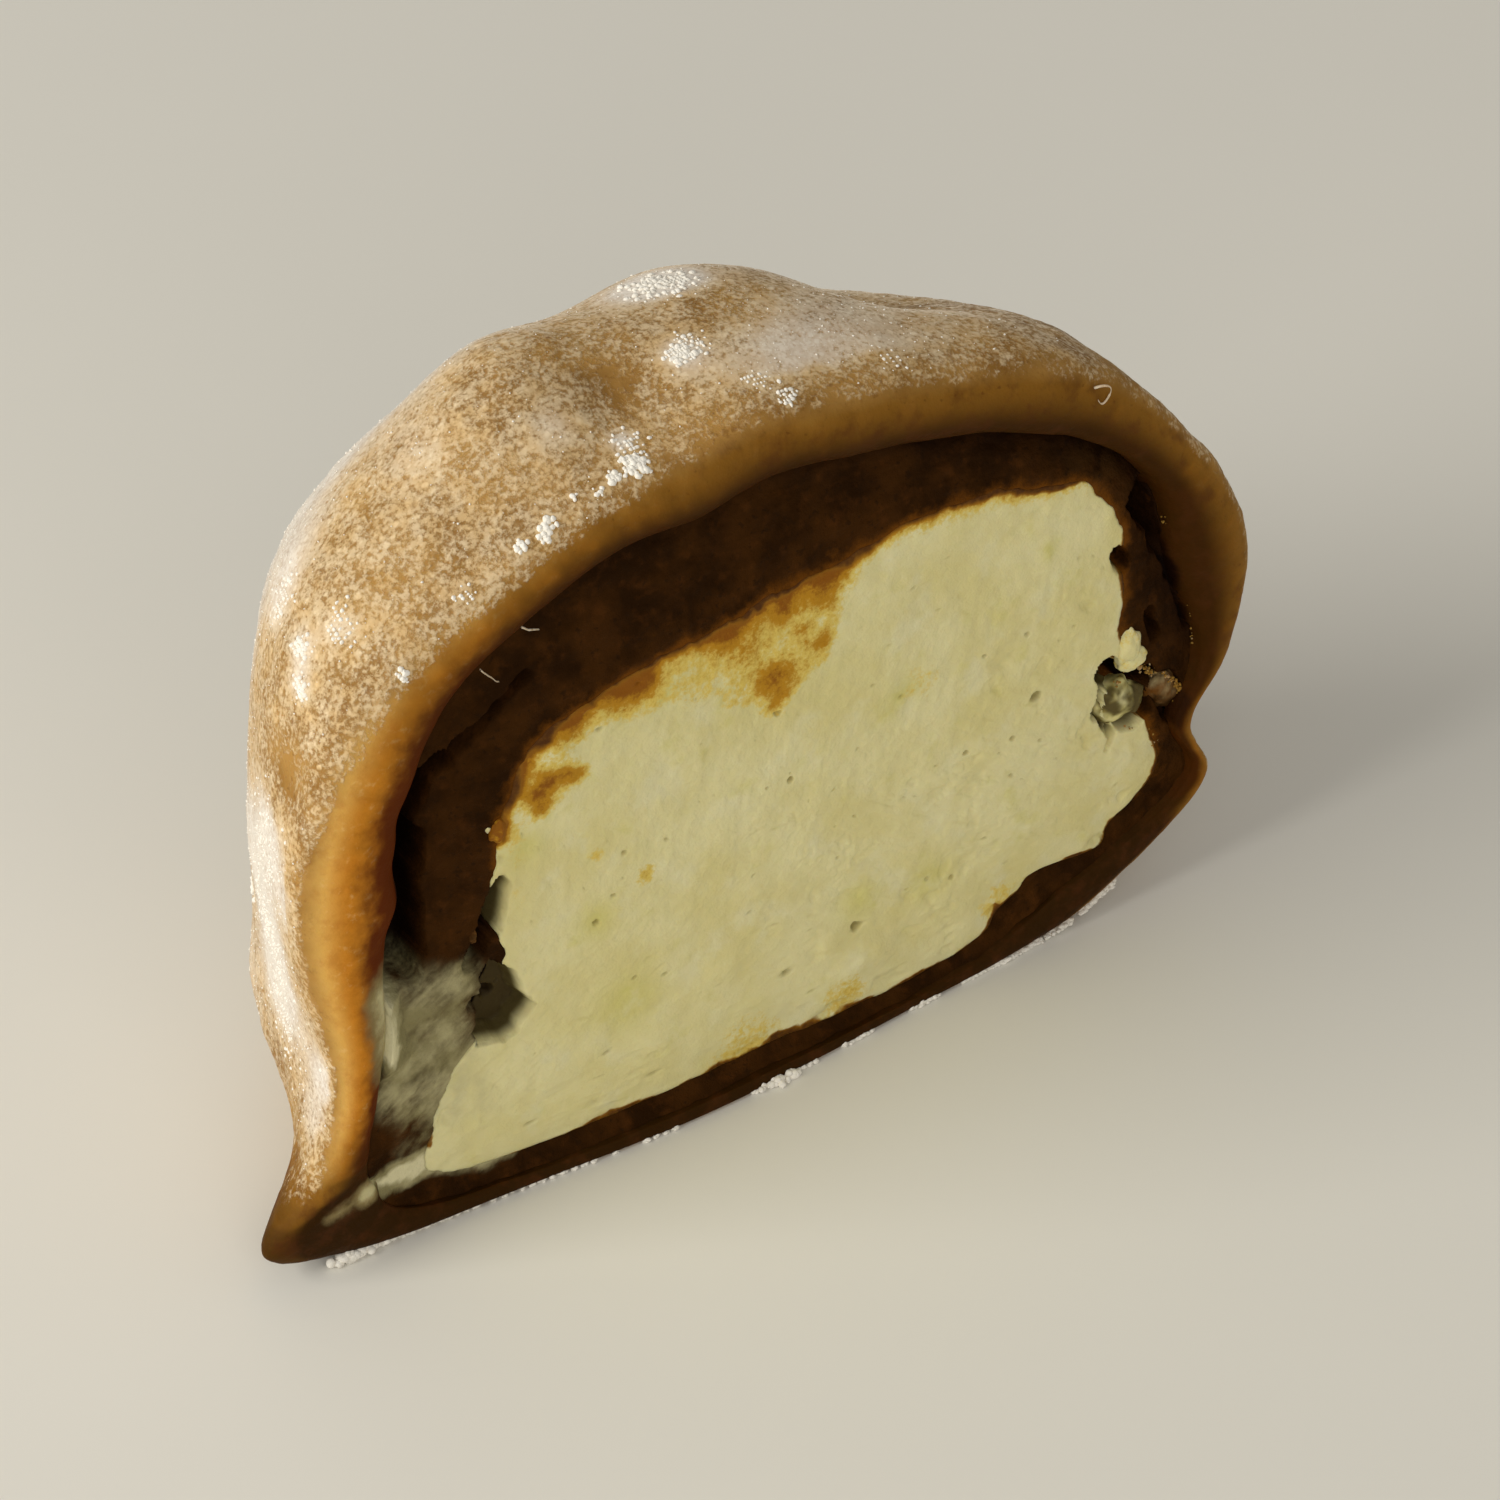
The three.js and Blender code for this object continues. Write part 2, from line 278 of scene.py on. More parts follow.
def round_the_cut(column):
    """One property of the stations as a smooth closed curve, sampled all the way round."""
    knots = np.array([station[column] for station in STATIONS], float)
    place = np.arange(AROUND) * len(knots) / AROUND
    first = place.astype(int)
    t = place - first
    a, b, c, d = (knots[(first + k) % len(knots)] for k in (-1, 0, 1, 2))
    bend = (2 * a - 5 * b + 4 * c - d) * t**2 + (3 * b - a - 3 * c + d) * t**3
    return 0.5 * (2 * b + (c - a) * t + bend)


SKIN_UNEVEN, PASTE_UNEVEN, EVEN_BELOW = 0.22, 0.6, 3
edge = np.stack([round_the_cut(1), round_the_cut(2)], -1)
skin_thick, paste_thick, sunk, rear_x, rear_z, lip_glow, dusted = map(round_the_cut, range(3, 10))
inward = CUT_MIDDLE - edge
inward /= np.linalg.norm(inward, axis=1, keepdims=True)
flat_edge = np.insert(edge, 1, 0, axis=1)
skin_thick = skin_thick + SKIN_UNEVEN * noise(flat_edge, 4, 1) * np.minimum(skin_thick / EVEN_BELOW, 1)
paste_ripple = PASTE_UNEVEN * noise(flat_edge, 2.4, 2, 4)
paste_thick = paste_thick + paste_ripple * np.minimum(paste_thick / EVEN_BELOW, 1)
# x and z on the cut's outer edge, reach, and how much more skin and paste there is in mm
UNEVEN = [
    (-26.9, 31.2, 1.5, -0.6, 0.6),
    (-27.9, 28.0, 1.2, -0.5, 0.5),
    (-28.1, 25.0, 1.2, 0.16, -0.16),
    (-28.1, 22.4, 1.4, -0.4, 0.4),
    (-27.6, 19.2, 2.0, -0.4, 0.4),
    (26.2, 35.2, 1.7, 0, -1.1),
    (28.4, 32.4, 1.3, 0, -0.9),
    (30.3, 29.4, 1.2, 0, -0.3),
    (20.3, 0.4, 1.2, 0, 0.6),
    (23.8, 1.4, 1.4, 0, 0.9),
    (26.6, 3.2, 0.9, 0, -1.4),
]
for x, z, reach, more_skin, more_paste in UNEVEN:
    near = np.exp(-np.sum((edge - np.array([x, z])) ** 2, axis=1) / (2 * reach * reach))
    skin_thick, paste_thick = skin_thick + more_skin * near, paste_thick + more_paste * near
lip_radius = np.clip(LIP_SHARE * skin_thick, LIP_SMALLEST, LIP_LARGEST)


def carried_back(outline, y, depth, flat_depth):
    """The cut's outline carried back to the depths y, on a body that closes at its own depth. Its foot
    bulges forward a little at the cut."""
    share = np.clip(y / depth, 0, 1)
    plan = (1 - share**PLAN_POWER) ** (1 / PLAN_POWER)
    roof = (1 - share**ROOF_POWER) ** (1 / ROOF_POWER)
    floor = np.sqrt(1 - np.clip((y - flat_depth) / (depth - flat_depth), 0, 1) ** 2)
    undragged = 1 - np.exp(-((y / DRAG_FADE) ** 2))
    above = outline[:, 1] + rear_z * undragged - POLE_HEIGHT
    x = (outline[:, 0] + rear_x * undragged) * plan
    z = POLE_HEIGHT + above * np.where(above > 0, roof, floor)
    apart = ((x - BULGE_MIDDLE) / BULGE_WIDTH) ** 2 + (z / BULGE_HEIGHT) ** 2 + (y / BULGE_DEPTH) ** 2
    return np.stack([x, y - BULGE_FORWARD * np.exp(-apart), z], -1)


# x, y, z, reach and height of the swellings and dimples that hands and knife left in the skin
LUMPS = np.array(
    [
        (-9, 11, 47, 5.0, 2.2),
        (-6, 4, 46, 3.5, -0.9),
        (4.5, 15, 44, 4.5, 2.0),
        (16, 12, 42, 3.5, -1.6),
        (-23, 15, 9, 4.5, 1.0),
        (-27, 9, 12, 5.0, -0.6),
        (14, 21, 31, 7.0, 0.9),
        (-12, 22, 24, 7.0, -0.7),
        (-5, 5.5, 46, 1.8, -0.45),
        (-26.5, 3.6, 31.5, 1.6, -0.35),
    ]
)
LUMP_ORIGIN = np.array([0.0, 4.0, 15.0])


def with_lumps(points):
    away = points - LUMP_ORIGIN
    away /= np.linalg.norm(away, axis=-1, keepdims=True)
    push = 0
    for x, y, z, reach, height in LUMPS:
        apart = np.sum((points - np.array([x, y, z])) ** 2, axis=-1)
        push = push + height * np.exp(-apart / (2 * reach * reach))
    moved = points + away * push[..., None]
    moved[..., 2] = np.maximum(moved[..., 2], 0)
    return moved


def wall_depths(front, depth, rows):
    """Depths from just before a wall's back pole to its front, closer together at the back."""
    angle = (np.pi / 2) * (1 - (np.arange(rows) + 1) / rows)
    return front + (depth - front) * np.sin(angle)[:, None]


def across(first, last, share):
    return first + (last - first) * share[..., None]


def outward(rows):
    """Directions pointing out of a surface that is given as rows of points round the cake."""
    along = np.roll(rows, -1, axis=1) - np.roll(rows, 1, axis=1)
    down = np.gradient(rows, axis=0)
    facing = np.cross(along, down)
    return facing / np.maximum(np.linalg.norm(facing, axis=-1, keepdims=True), 1e-9)


def mesh_piece(name, points, faces, material, marks=None):
    """A smooth piece that rides with the food. points are in mm from the cut's own origin."""
    mesh = bpy.data.meshes.new(name)
    mesh.from_pydata(((points + SHIFT) * MM).tolist(), [], faces)
    mesh.shade_smooth()
    for mark, values in (marks or {}).items():
        mesh.attributes.new(mark, "FLOAT", "POINT").data.foreach_set("value", values)
    mesh.materials.append(material)
    piece = bpy.data.objects.new(name, mesh)
    bpy.context.scene.collection.objects.link(piece)
    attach(piece, "root")
    return piece


def layer(name, rows, material, first_pole, last_pole, marks):
    """A closed piece from rows of points round the cake, ended by two single points."""
    points = np.concatenate([first_pole[None], rows.reshape(-1, 3), last_pole[None]])
    column = np.arange(AROUND)
    after = (column + 1) % AROUND
    here = 1 + np.arange(len(rows) - 1)[:, None] * AROUND
    quads = np.stack([here + column, here + after, here + AROUND + after, here + AROUND + column], -1)
    last = 1 + (len(rows) - 1) * AROUND
    caps = [(0, 1 + b, 1 + a) for a, b in zip(column, after)]
    caps += [(len(points) - 1, last + a, last + b) for a, b in zip(column, after)]
    whole = {mark: np.concatenate([v[:1, 0], v.ravel(), v[-1:, 0]]) for mark, v in marks.items()}
    return mesh_piece(name, points, quads.reshape(-1, 4).tolist() + caps, material, whole)


OUTER_ROWS, LIP_ROWS, INNER_ROWS = 150, 44, 14
inner_depth = DEPTH - SKIN_BACK
flat_inside = FLAT_DEPTH - SKIN_BACK / 2
skin_inside = edge + inward * skin_thick[:, None]
outer = with_lumps(carried_back(edge, wall_depths(lip_radius, DEPTH, OUTER_ROWS), DEPTH, FLAT_DEPTH))
lip_angle = (np.pi * (np.arange(LIP_ROWS - 1) + 1) / LIP_ROWS)[:, None]
PRESSED_FLAT, PRESSED_HEIGHT = 0.75, 7
pressed_radius = lip_radius * (1 - PRESSED_FLAT * np.exp(-((edge[:, 1] / PRESSED_HEIGHT) ** 4)))
lip_depth = np.where(lip_angle > np.pi / 2, pressed_radius, lip_radius)
lip_y = lip_depth * (1 - np.sin(lip_angle) ** LIP_BLUNTNESS)
lip_across = (1 - np.cos(lip_angle)) / 2 + 0 * lip_y
lip = across(
    with_lumps(carried_back(edge, lip_y, DEPTH, FLAT_DEPTH)),
    carried_back(skin_inside, lip_y, inner_depth, flat_inside),
    lip_across,
)
inner = carried_back(
    skin_inside, wall_depths(pressed_radius, inner_depth, INNER_ROWS), inner_depth, flat_inside
)[::-1]
skin = np.concatenate([outer, lip, inner])
lip_mark = np.concatenate([np.zeros((OUTER_ROWS, AROUND)), lip_across, np.ones((INNER_ROWS, AROUND))])
seen = skin[: OUTER_ROWS + LIP_ROWS - 1].reshape(-1, 3)
SHIFT = np.array(((cad_low + cad_high) / 2)[:]) / MM - (seen.min(0) + seen.max(0)) / 2
SHIFT[2] = 0

# Hand-shaped unevenness, a leathery grain on the dusted outside, and fine streaks across the lip
off_floor = np.clip(skin[..., 2] / 1.5, 0, 1)
dry = np.clip(1 - (lip_mark - dusted) * 8, 0.2, 1)
arc = np.cumsum(np.linalg.norm(np.roll(edge, -1, 0) - edge, axis=1)) + 0 * lip_mark
streaks = noise(np.stack([arc, 0 * arc, lip_mark * 3], -1), 0.9, 15, 3)
SWELLS, LEATHER, FINE_LEATHER, STREAK_DEPTH = 0.22, 0.09, 0.05, 0.06
leathery = LEATHER * noise(skin, 1.6, 4, 2) + FINE_LEATHER * noise(skin, 0.5, 14, 2)
relief = SWELLS * noise(skin, 6, 3, 2) + leathery * dry
relief += STREAK_DEPTH * streaks * np.clip(lip_mark * (1 - lip_mark) * 4, 0, 1)
relief[-INNER_ROWS:] = 0
skin = skin + outward(skin) * (relief * off_floor)[..., None]
skin[..., 2] = np.maximum(skin[..., 2], 0)

# x, y, z, reach and amount of the thick dustings, of the places that were rubbed bare, and of the
# painted sheen along the upper left rim
DUSTINGS = [
    (1.0, 12.6, 45.9, 1.5, 0.6),
    (3.2, 12.2, 46.0, 1.3, 0.4),
    (2.6, 9.0, 46.4, 2.0, -0.22),
    (-0.9, 6.1, 46.5, 1.0, 0.35),
    (3.6, 4.4, 45.8, 3.0, 0.26),
    (9.0, 5.0, 44.8, 3.6, 0.22),
    (16, 5.0, 42.5, 4.0, 0.12),
    (-9.3, 4.9, 46.3, 1.2, 0.25),
    (-6.4, 3.0, 45.1, 0.7, 0.4),
    (-5.0, 6.0, 46.3, 1.8, -0.2),
    (-15.4, 8.4, 45.0, 2.2, 0.2),
    (-21.1, 11.2, 39.4, 2.4, 0.22),
    (-23.3, 10.0, 38.0, 1.6, 0.26),
    (-24.2, 5.8, 37.8, 0.8, 0.32),
    (-22.7, 4.3, 39.4, 1.0, 0.25),
    (-24.9, 4.8, 36.3, 0.8, 0.32),
    (-26.6, 4.3, 31.2, 1.6, -0.35),
    (-27.2, 5.5, 26.6, 2.2, 0.5),
    (-26.6, 8.5, 22, 2.6, 0.5),
    (-26.4, 7.4, 18.2, 2.6, 0.55),
    (-26.0, 7.6, 14, 2.4, 0.5),
    (-27.4, 1.6, 24.0, 1.4, 0.35),
    (-26.8, 1.6, 12.5, 1.4, 0.4),
    (-27.0, 2.5, 9.0, 1.6, 0.3),
    # the painted sheen of the powder along the upper left rim, where the skin turns away
    (-24.7, 12.6, 22.3, 3.0, 0.22),
    (-22.5, 14.4, 32, 3.0, 0.24),
    (-19.2, 16.4, 36.3, 3.0, 0.22),
    (-24.0, 14.6, 10, 3.4, 0.14),
    (-14.0, 16.4, 41.0, 2.8, 0.26),
    (-10.2, 15.0, 44.5, 2.6, 0.26),
    (-17.0, 16.8, 38.6, 2.8, 0.24),
]
# More dust towards the back, which also paints the powder's whiter sheen along the rim.
DUST_ALL_OVER, MORE_BEHIND, LESS_AT_THE_RIGHT = 0.34, 0.2, 0.09
at_back = np.clip((skin[..., 1] - 9) / 9, 0, 1)
dust_and_sheen = DUST_ALL_OVER + MORE_BEHIND * at_back
for x, y, z, reach, amount in DUSTINGS:
    apart = np.sum((skin - np.array([x, y, z])) ** 2, axis=-1)
    dust_and_sheen = dust_and_sheen + amount * np.exp(-apart / (2 * reach * reach))
dust_and_sheen = dust_and_sheen - LESS_AT_THE_RIGHT * np.clip((skin[..., 0] - 10) / 12, 0, 1) * (1 - at_back)
HEEL_TIP, HEEL_WIDTH, HEEL_HEIGHT = -31.5, 5.2, 6.6
heel = np.exp(-(((skin[..., 0] - HEEL_TIP) / HEEL_WIDTH) ** 4) - (skin[..., 2] / HEEL_HEIGHT) ** 4)
ragged = dusted + 0.07 * noise(np.stack([arc, lip_mark * 4, 0 * arc], -1), 1.4, 5, 4)
fade = 0.3 - 0.2 * np.clip(lip_glow, 0, 1)
FOOT_START, FOOT_SPAN, FOOT_TOP, FOOT_FADE = -31.6, 4.4, 6.6, 2.2
foot_dark = np.clip((skin[..., 0] - FOOT_START) / FOOT_SPAN, 0, 1)
foot_dark = foot_dark * np.clip((FOOT_TOP - skin[..., 2]) / FOOT_FADE, 0, 1)
foot_dark = foot_dark * np.clip(lip_mark * 4 - 0.8, 0, 1)
behind_lip = np.clip((skin[..., 1] - lip_radius) / 8, 0, 1) * (lip_mark < 0.5)
past_dust = np.clip((lip_mark - behind_lip - ragged) / fade + 0.15, 0, 1)
dust_and_sheen = dust_and_sheen * (1 - past_dust) * off_floor * (1 - heel)


def inside(points, outline, grown, seed, ragged_by=0.25, softness=0.35):
    """1 within an outline of x and z on the cut face that is grown by so many mm, and 0 outside it."""
    ripple = ragged_by * noise(points * np.array([1, 0, 1]), 1.3, seed, 4)
    x, z = points[..., 0], points[..., 2]
    nearest, within = np.inf, False
    for (x1, z1), (x2, z2) in zip(outline, outline[1:] + outline[:1]):
        run, rise = x2 - x1, z2 - z1
        along = np.clip(((x - x1) * run + (z - z1) * rise) / max(run * run + rise * rise, 1e-9), 0, 1)
        nearest = np.minimum(nearest, np.hypot(x - x1 - along * run, z - z1 - along * rise))
        if rise:
            within = within ^ (((z1 > z) != (z2 > z)) & (x < run * (z - z1) / rise + x1))
    depth = np.where(within, nearest, -nearest) + grown + ripple
    return np.clip(depth / softness + 0.5, 0, 1)


# Outlines in x and z, growth and strength of the film that the knife smeared over paste and cream,
# and of the cream that it dragged out towards the heel
FILM = [
    (
        [(-23.6, 17.9), (-22.6, 16.2), (-20.8, 16.9), (-19.4, 16.7), (-18.2, 16.3), (-17.3, 15.1)]
        + [(-18, 13.4), (-18.3, 12), (-18.5, 10.8), (-17.9, 8.5), (-18.5, 6.6), (-19.6, 5.9)]
        + [(-21, 5.9), (-22.6, 7.3), (-24, 9), (-24.2, 10.5), (-23.9, 12), (-23.8, 15.7)],
        0,
        0.36,
    ),
    ([(-23.8, 17.8), (-23.4, 13.4)], 1.2, 0.95),
    ([(-23.4, 13.4), (-22.6, 11.0)], 0.8, 0.66),
    ([(-20.2, 6.6), (-22.2, 5.8)], 0.8, 0.26),
    ([(-18.9, 9.4), (-19.5, 6.6)], 0.7, 0.62),
    ([(-18.3, 15.8), (-18.0, 14.4)], 0.6, 0.5),
    ([(-21.2, 15.4), (-19.6, 12.2)], 0.9, 0.44),
    ([(-19.6, 11.4), (-18.9, 8.2)], 0.9, 0.46),
    ([(-18.4, 10.4), (-17.8, 6.4)], 0.7, 0.5),
]
DRAGGED_CREAM = [
    (
        [(-16.4, 7.8), (-17.9, 6.6), (-18.9, 5.4), (-20.4, 4.3), (-21.8, 4.1)]
        + [(-21.4, 3.4), (-19.6, 2.7), (-17.6, 2.2), (-16.4, 2.4)],
        0.25,
        0.95,
    ),
    ([(-20.4, 3.7), (-23.4, 4.1)], 0.85, 0.9),
    ([(-23.2, 4.1), (-25.8, 3.95)], 0.62, 0.84),
    ([(-25.6, 3.95), (-28.0, 3.7)], 0.4, 0.6),
]


def smeared(points, outlines, softness):
    most = 0
    for number, (outline, grown, strength) in enumerate(outlines):
        most = np.maximum(most, strength * inside(points, outline, grown, 40 + number, 0.28, softness))
    return most


# Outlines in x and z, growth and depth in mm of the torn hollows in the cut, where the layers came
# away from each other
HOLLOWS = [
    (
        [(-21.2, 27.2), (-22.0, 24.8), (-22.2, 21.5), (-22.8, 19.1), (-23.0, 16.8), (-21.0, 16.4)]
        + [(-20.3, 18.2), (-20.1, 20.8), (-19.9, 23.4), (-19.6, 25.6)],
        0,
        2.8,
    ),
    ([(-20.6, 26.4), (-19.8, 28.4)], 0.6, 2.4),
    ([(-19.8, 28.4), (-18.4, 30.0)], 0.4, 1.8),
    ([(-18.4, 30.0), (-13.4, 33.8)], 0.22, 0.9),
    ([(-15.9, 20.9), (-16.6, 18.2)], 0.5, 2.2),
    ([(-16.8, 18.4), (-17.8, 16.4)], 0.4, 2.8),
    (
        [(-16.8, 15.8), (-15.6, 14.9), (-15.1, 13.2), (-14.4, 11.9), (-15.0, 11.2), (-15.4, 10.4)]
        + [(-16.1, 10.2), (-17.6, 10.9), (-18.0, 11.6), (-17.7, 12.6), (-17.3, 13.7)],
        0,
        1.8,
    ),
    ([(-17.6, 13.6), (-16.2, 12.4)], 0.5, 2.6),
    ([(-16.9, 15.4), (-16.7, 13.6)], 0.3, 2.6),
    ([(25.4, 28.4), (26.0, 27.0)], 0.8, 2.6),
    ([(26.0, 27.4), (26.9, 24.7)], 0.5, 2.4),
    ([(26.9, 24.7), (27.9, 22.3)], 0.35, 2.2),
    ([(27.9, 22.3), (29.0, 18.2)], 0.25, 1.8),
    ([(26.2, 20.2), (26.7, 18.4)], 0.2, 1.0),
    ([(23.6, 25.6), (24.2, 24.7)], 0.35, 1.6),
    ([(23.3, 17.6), (23.9, 16.6)], 0.75, 3.2),
    ([(23.9, 16.6), (26.2, 15.9)], 0.5, 2.6),
    ([(26.2, 15.9), (27.0, 15.2)], 0.25, 1.8),
    ([(23.1, 16.4), (22.7, 14.6)], 0.3, 2.4),
    ([(22.7, 14.6), (23.5, 13.1)], 0.22, 2.0),
    ([(24.3, 14.8), (25.4, 13.8)], 1.2, 1.0),
    ([(23.8, 13.0), (23.4, 11.8)], 0.08, 1.2),
    ([(27.3, 14.6), (28.2, 12.6)], 0.9, 0.9),
]


def hollowed(points):
    """How deep the torn hollows are at points of the cut face, in mm."""
    deepest = 0
    for number, (outline, grown, depth) in enumerate(HOLLOWS):
        hole = inside(points, outline, grown, 20 + number, 0.38, 0.3)
        deepest = np.maximum(deepest, depth * hole)
    return deepest


def powder_cover(ink):
    """Where starch hides the dough, and where it paints the powder's sheen along the rim: fine specks and
    coarser grains, a thin haze, and thick patches.
    """
    amount = ink.mark("dust_and_sheen")
    patchy = amount + (ink.cloud(2.6, 4, 0.6) - 0.5) * 0.7 + (ink.cloud(0.8, 3) - 0.5) * 0.5
    patchy = patchy * amount.step(0.0, 0.12)
    strewn = patchy.step(0.0, 0.2)
    specks = (ink.cloud(0.3, 3, 0.7) + patchy * 0.4).step(0.52, 0.76) * strewn
    bare = 1 - specks * 0.55
    bare = bare * (1 - ink.grains(0.42, patchy * 0.7) * strewn * 0.75)
    bare = bare * (1 - ink.grains(0.22, patchy) * strewn * 0.4)
    bare = bare * (1 - patchy.step(0.04, 0.75) * (ink.cloud(0.5, 3) * 0.3 + 0.04))
    uneven = (ink.cloud(1.5, 4) - 0.5) * 0.9 + (ink.cloud(0.25, 3, 0.7) - 0.5) * 1.5
    thick = (amount + uneven).step(0.55, 1.0)
    return 1 - bare * (1 - thick * 0.8)


def powder_colour(ink):
    golden = ink.cloud(1.2, 3).step(0.35, 0.65).over(rgb(0.80, 0.575, 0.30), rgb(0.88, 0.71, 0.46))
    return ink.mark("dust_and_sheen").step(0.42, 0.8).over(golden, rgb(0.87, 0.81, 0.73))


def dough_colour(ink):
    dough = ink.cloud(4).step(0.35, 0.65).over(rgb(0.27, 0.135, 0.031), rgb(0.42, 0.23, 0.062))
    dough = (ink.cloud(0.5, 3, 0.7).step(0.52, 0.72) * 0.6).over(dough, rgb(0.17, 0.07, 0.016))
    across_lip = ink.mark("lip")
    light = ink.mark("light")
    # Painted shade on the lip where its light mark is low: darkest at the inner edge, and lighter at the
    # outer edge, which the light shines through.
    shaded_lip = across_lip.step(0.15, 0.8).over(rgb(0.25, 0.112, 0.014), rgb(0.045, 0.016, 0.0015))
    shaded_lip = across_lip.step(0.24, 0.0).over(shaded_lip, rgb(0.29, 0.145, 0.025))
    # Painted glow of light shining through the lip where its light mark is high: amber outside, deep orange
    # and then dark red-brown towards the inner side, which is in painted shade.
    glowing_lip = across_lip.step(0.1, 0.45).over(rgb(0.76, 0.46, 0.12), rgb(0.64, 0.25, 0.022))
    glowing_lip = (ink.cloud(1.3, 5, 0.6).step(0.42, 0.7) * 0.4).over(glowing_lip, rgb(0.42, 0.125, 0.008))
    glowing_lip = (ink.cloud(0.6, 4, 0.6).step(0.56, 0.74) * 0.35).over(glowing_lip, rgb(0.86, 0.60, 0.24))
    inner_side = across_lip + (ink.cloud(1.1, 4) - 0.5) * 0.4
    glowing_lip = inner_side.step(0.36, 0.78).over(glowing_lip, rgb(0.11, 0.021, 0.002))
    damp = light.step(0, 1).over(shaded_lip, glowing_lip)
    damp = light.step(-0.1, -0.6).over(damp, rgb(0.034, 0.0135, 0.002))
    stewed = ink.cloud(1.5, 4, 0.6).step(0.45, 0.7) * light.step(0.3, 0.05) * 0.55
    damp = stewed.over(damp, rgb(0.085, 0.026, 0.007))
    speck = ink.cloud(0.4, 2).step(0.64, 0.76) * across_lip.step(0.7, 0.2) * light.step(0.6, 0.1) * 0.5
    damp = speck.over(damp, rgb(0.09, 0.03, 0.005))
    # Painted shade, nearly black, on the lip's inner edge where the crevices and torn hollows open behind
    # it.
    damp = ink.mark("shade_and_soil").over(damp, rgb(0.010, 0.003, 0.001))
    bare = across_lip.step(0.02, 0.25).over(dough, damp)
    soft_film = ink.mark("smear") + (ink.cloud(1.2, 5, 0.65) - 0.5) * 0.7 * ink.mark("smear").step(0.05, 0.3)
    hazy = soft_film.step(0.1, 0.6).over(bare, rgb(0.26, 0.20, 0.085))
    return soft_film.step(0.5, 0.9).over(hazy, rgb(0.58, 0.52, 0.28))


mochi = finish_of(
    "dusted_mochi",
    dough_colour,
    lambda ink: ink.cloud(1.3) * 0.2 + 0.45,
    0.12,
    lambda ink: powder_cover(ink) + ink.cloud(0.3, 2) * 0.3,
    Subsurface_Weight=0.25,
    Subsurface_Radius=(1.0, 0.45, 0.15),
    Subsurface_Scale=1.1 * MM,
    Specular_IOR_Level=0.03,
)
ink = Ink(mochi.node_tree)
damp_dough = Ink(ink.tree, ink.tree.nodes["Principled BSDF"].outputs[0])
powder_look = {"Base Color": powder_colour(ink), "Roughness": 0.95, "Specular IOR Level": 0.1}
powder_look.update({"Sheen Weight": 0.8, "Sheen Roughness": 0.35, "Sheen Tint": rgb(1, 0.93, 0.82)})
powder = ink.node("ShaderNodeBsdfPrincipled", inputs=powder_look)
dusted_dough = ink.node("ShaderNodeMixShader", inputs={0: powder_cover(ink), 1: damp_dough, 2: powder})
ink.tree.links.new(dusted_dough.socket, ink.tree.nodes["Material Output"].inputs["Surface"])
# The lip's painted glow and shade from its stations, turned dark at the heel and the foot and varied by the
# streaks.
light = lip_glow * (1 - 0.85 * heel) * (1 - foot_dark)
light = light - 0.9 * foot_dark - 0.45 * heel + 0.2 * streaks
cream_on_lip = smeared(skin - np.array([0, 0, 0.5]), DRAGGED_CREAM, 1.1) * np.clip(lip_mark * 4, 0, 1)
film_on_lip = 0.95 * smeared(skin, FILM, 3.0) * np.clip(lip_mark * 3 - 1.1, 0, 1)
skin_piece = layer(
    "rice_cake_skin",
    skin,
    mochi,
    skin[0].mean(0),
    skin[-1].mean(0),
    {
        "lip": np.maximum(lip_mark, 0.5 * heel),
        "dust_and_sheen": dust_and_sheen,
        "light": light,
        "smear": np.maximum(cream_on_lip, film_on_lip),
        # painted shade on the inner part of the lip beside the torn hollows
        "shade_and_soil": np.clip(hollowed(skin) / 1.5, 0, 1) * np.clip(lip_mark * 6 - 4.2, 0, 1),
    },
)
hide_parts("mochi_skin")

# Coffee bean paste
# Dense dark paste of sweet beans and coffee. It is smooth where the knife wiped it, lies a few
# millimetres behind the skin's lip, and has torn hollows where cream and skin came away from it.
def wiped(points):
    """The broad unevenness that the knife left on paste and cream alike, in mm."""
    return 0.14 * noise(points, 7, 10, 2) + 0.09 * noise(points, 1.7, 31, 3)


PASTE_FACE_ROWS, PASTE_OUTER_ROWS, PASTE_INNER_ROWS = 90, 16, 20
paste_outside = edge + inward * (skin_thick + TOUCHING)[:, None]
paste_inside = edge + inward * (skin_thick + paste_thick)[:, None]
paste_depth = inner_depth - TOUCHING
hole_depth = paste_depth - COFFEE_BACK
flat_hole = flat_inside - COFFEE_BACK / 2
face_share = (np.arange(PASTE_FACE_ROWS) / (PASTE_FACE_ROWS - 1))[:, None] + np.zeros(AROUND)
face_y = CREAM_EDGE + (sunk - CREAM_EDGE) * (1 - face_share) ** COFFEE_FACE_POWER
face = across(
    carried_back(paste_outside, face_y, paste_depth, flat_inside),
    carried_back(paste_inside, face_y, hole_depth, flat_hole),
    face_share,
)
smear = np.maximum(smeared(face, FILM, 2.2), smeared(face, DRAGGED_CREAM, 1.2))
hollow = hollowed(face)
from_cream = (1 - face_share) * paste_thick
apart_from_cream = np.clip(from_cream / 0.6, 0, 1)
face[..., 1] -= (face_y - CREAM_EDGE) * np.minimum(smear * 1.2, 1) * 0.8
face[..., 1] -= 1.0 * inside(face, [(-23.9, 17.6), (-23.5, 12.6)], 1.0, 66, 0.3, 1.6)
crumbly = 0.22 * noise(face, 1.1, 6, 4) + 0.10 * np.abs(noise(face, 0.5, 7, 2))
face[..., 1] += wiped(face) + hollow + crumbly * apart_from_cream * (1 - 0.7 * smear)
paste_wall = carried_back(
    paste_outside, wall_depths(face_y[0] + 0.4, paste_depth, PASTE_OUTER_ROWS), paste_depth, flat_inside
)
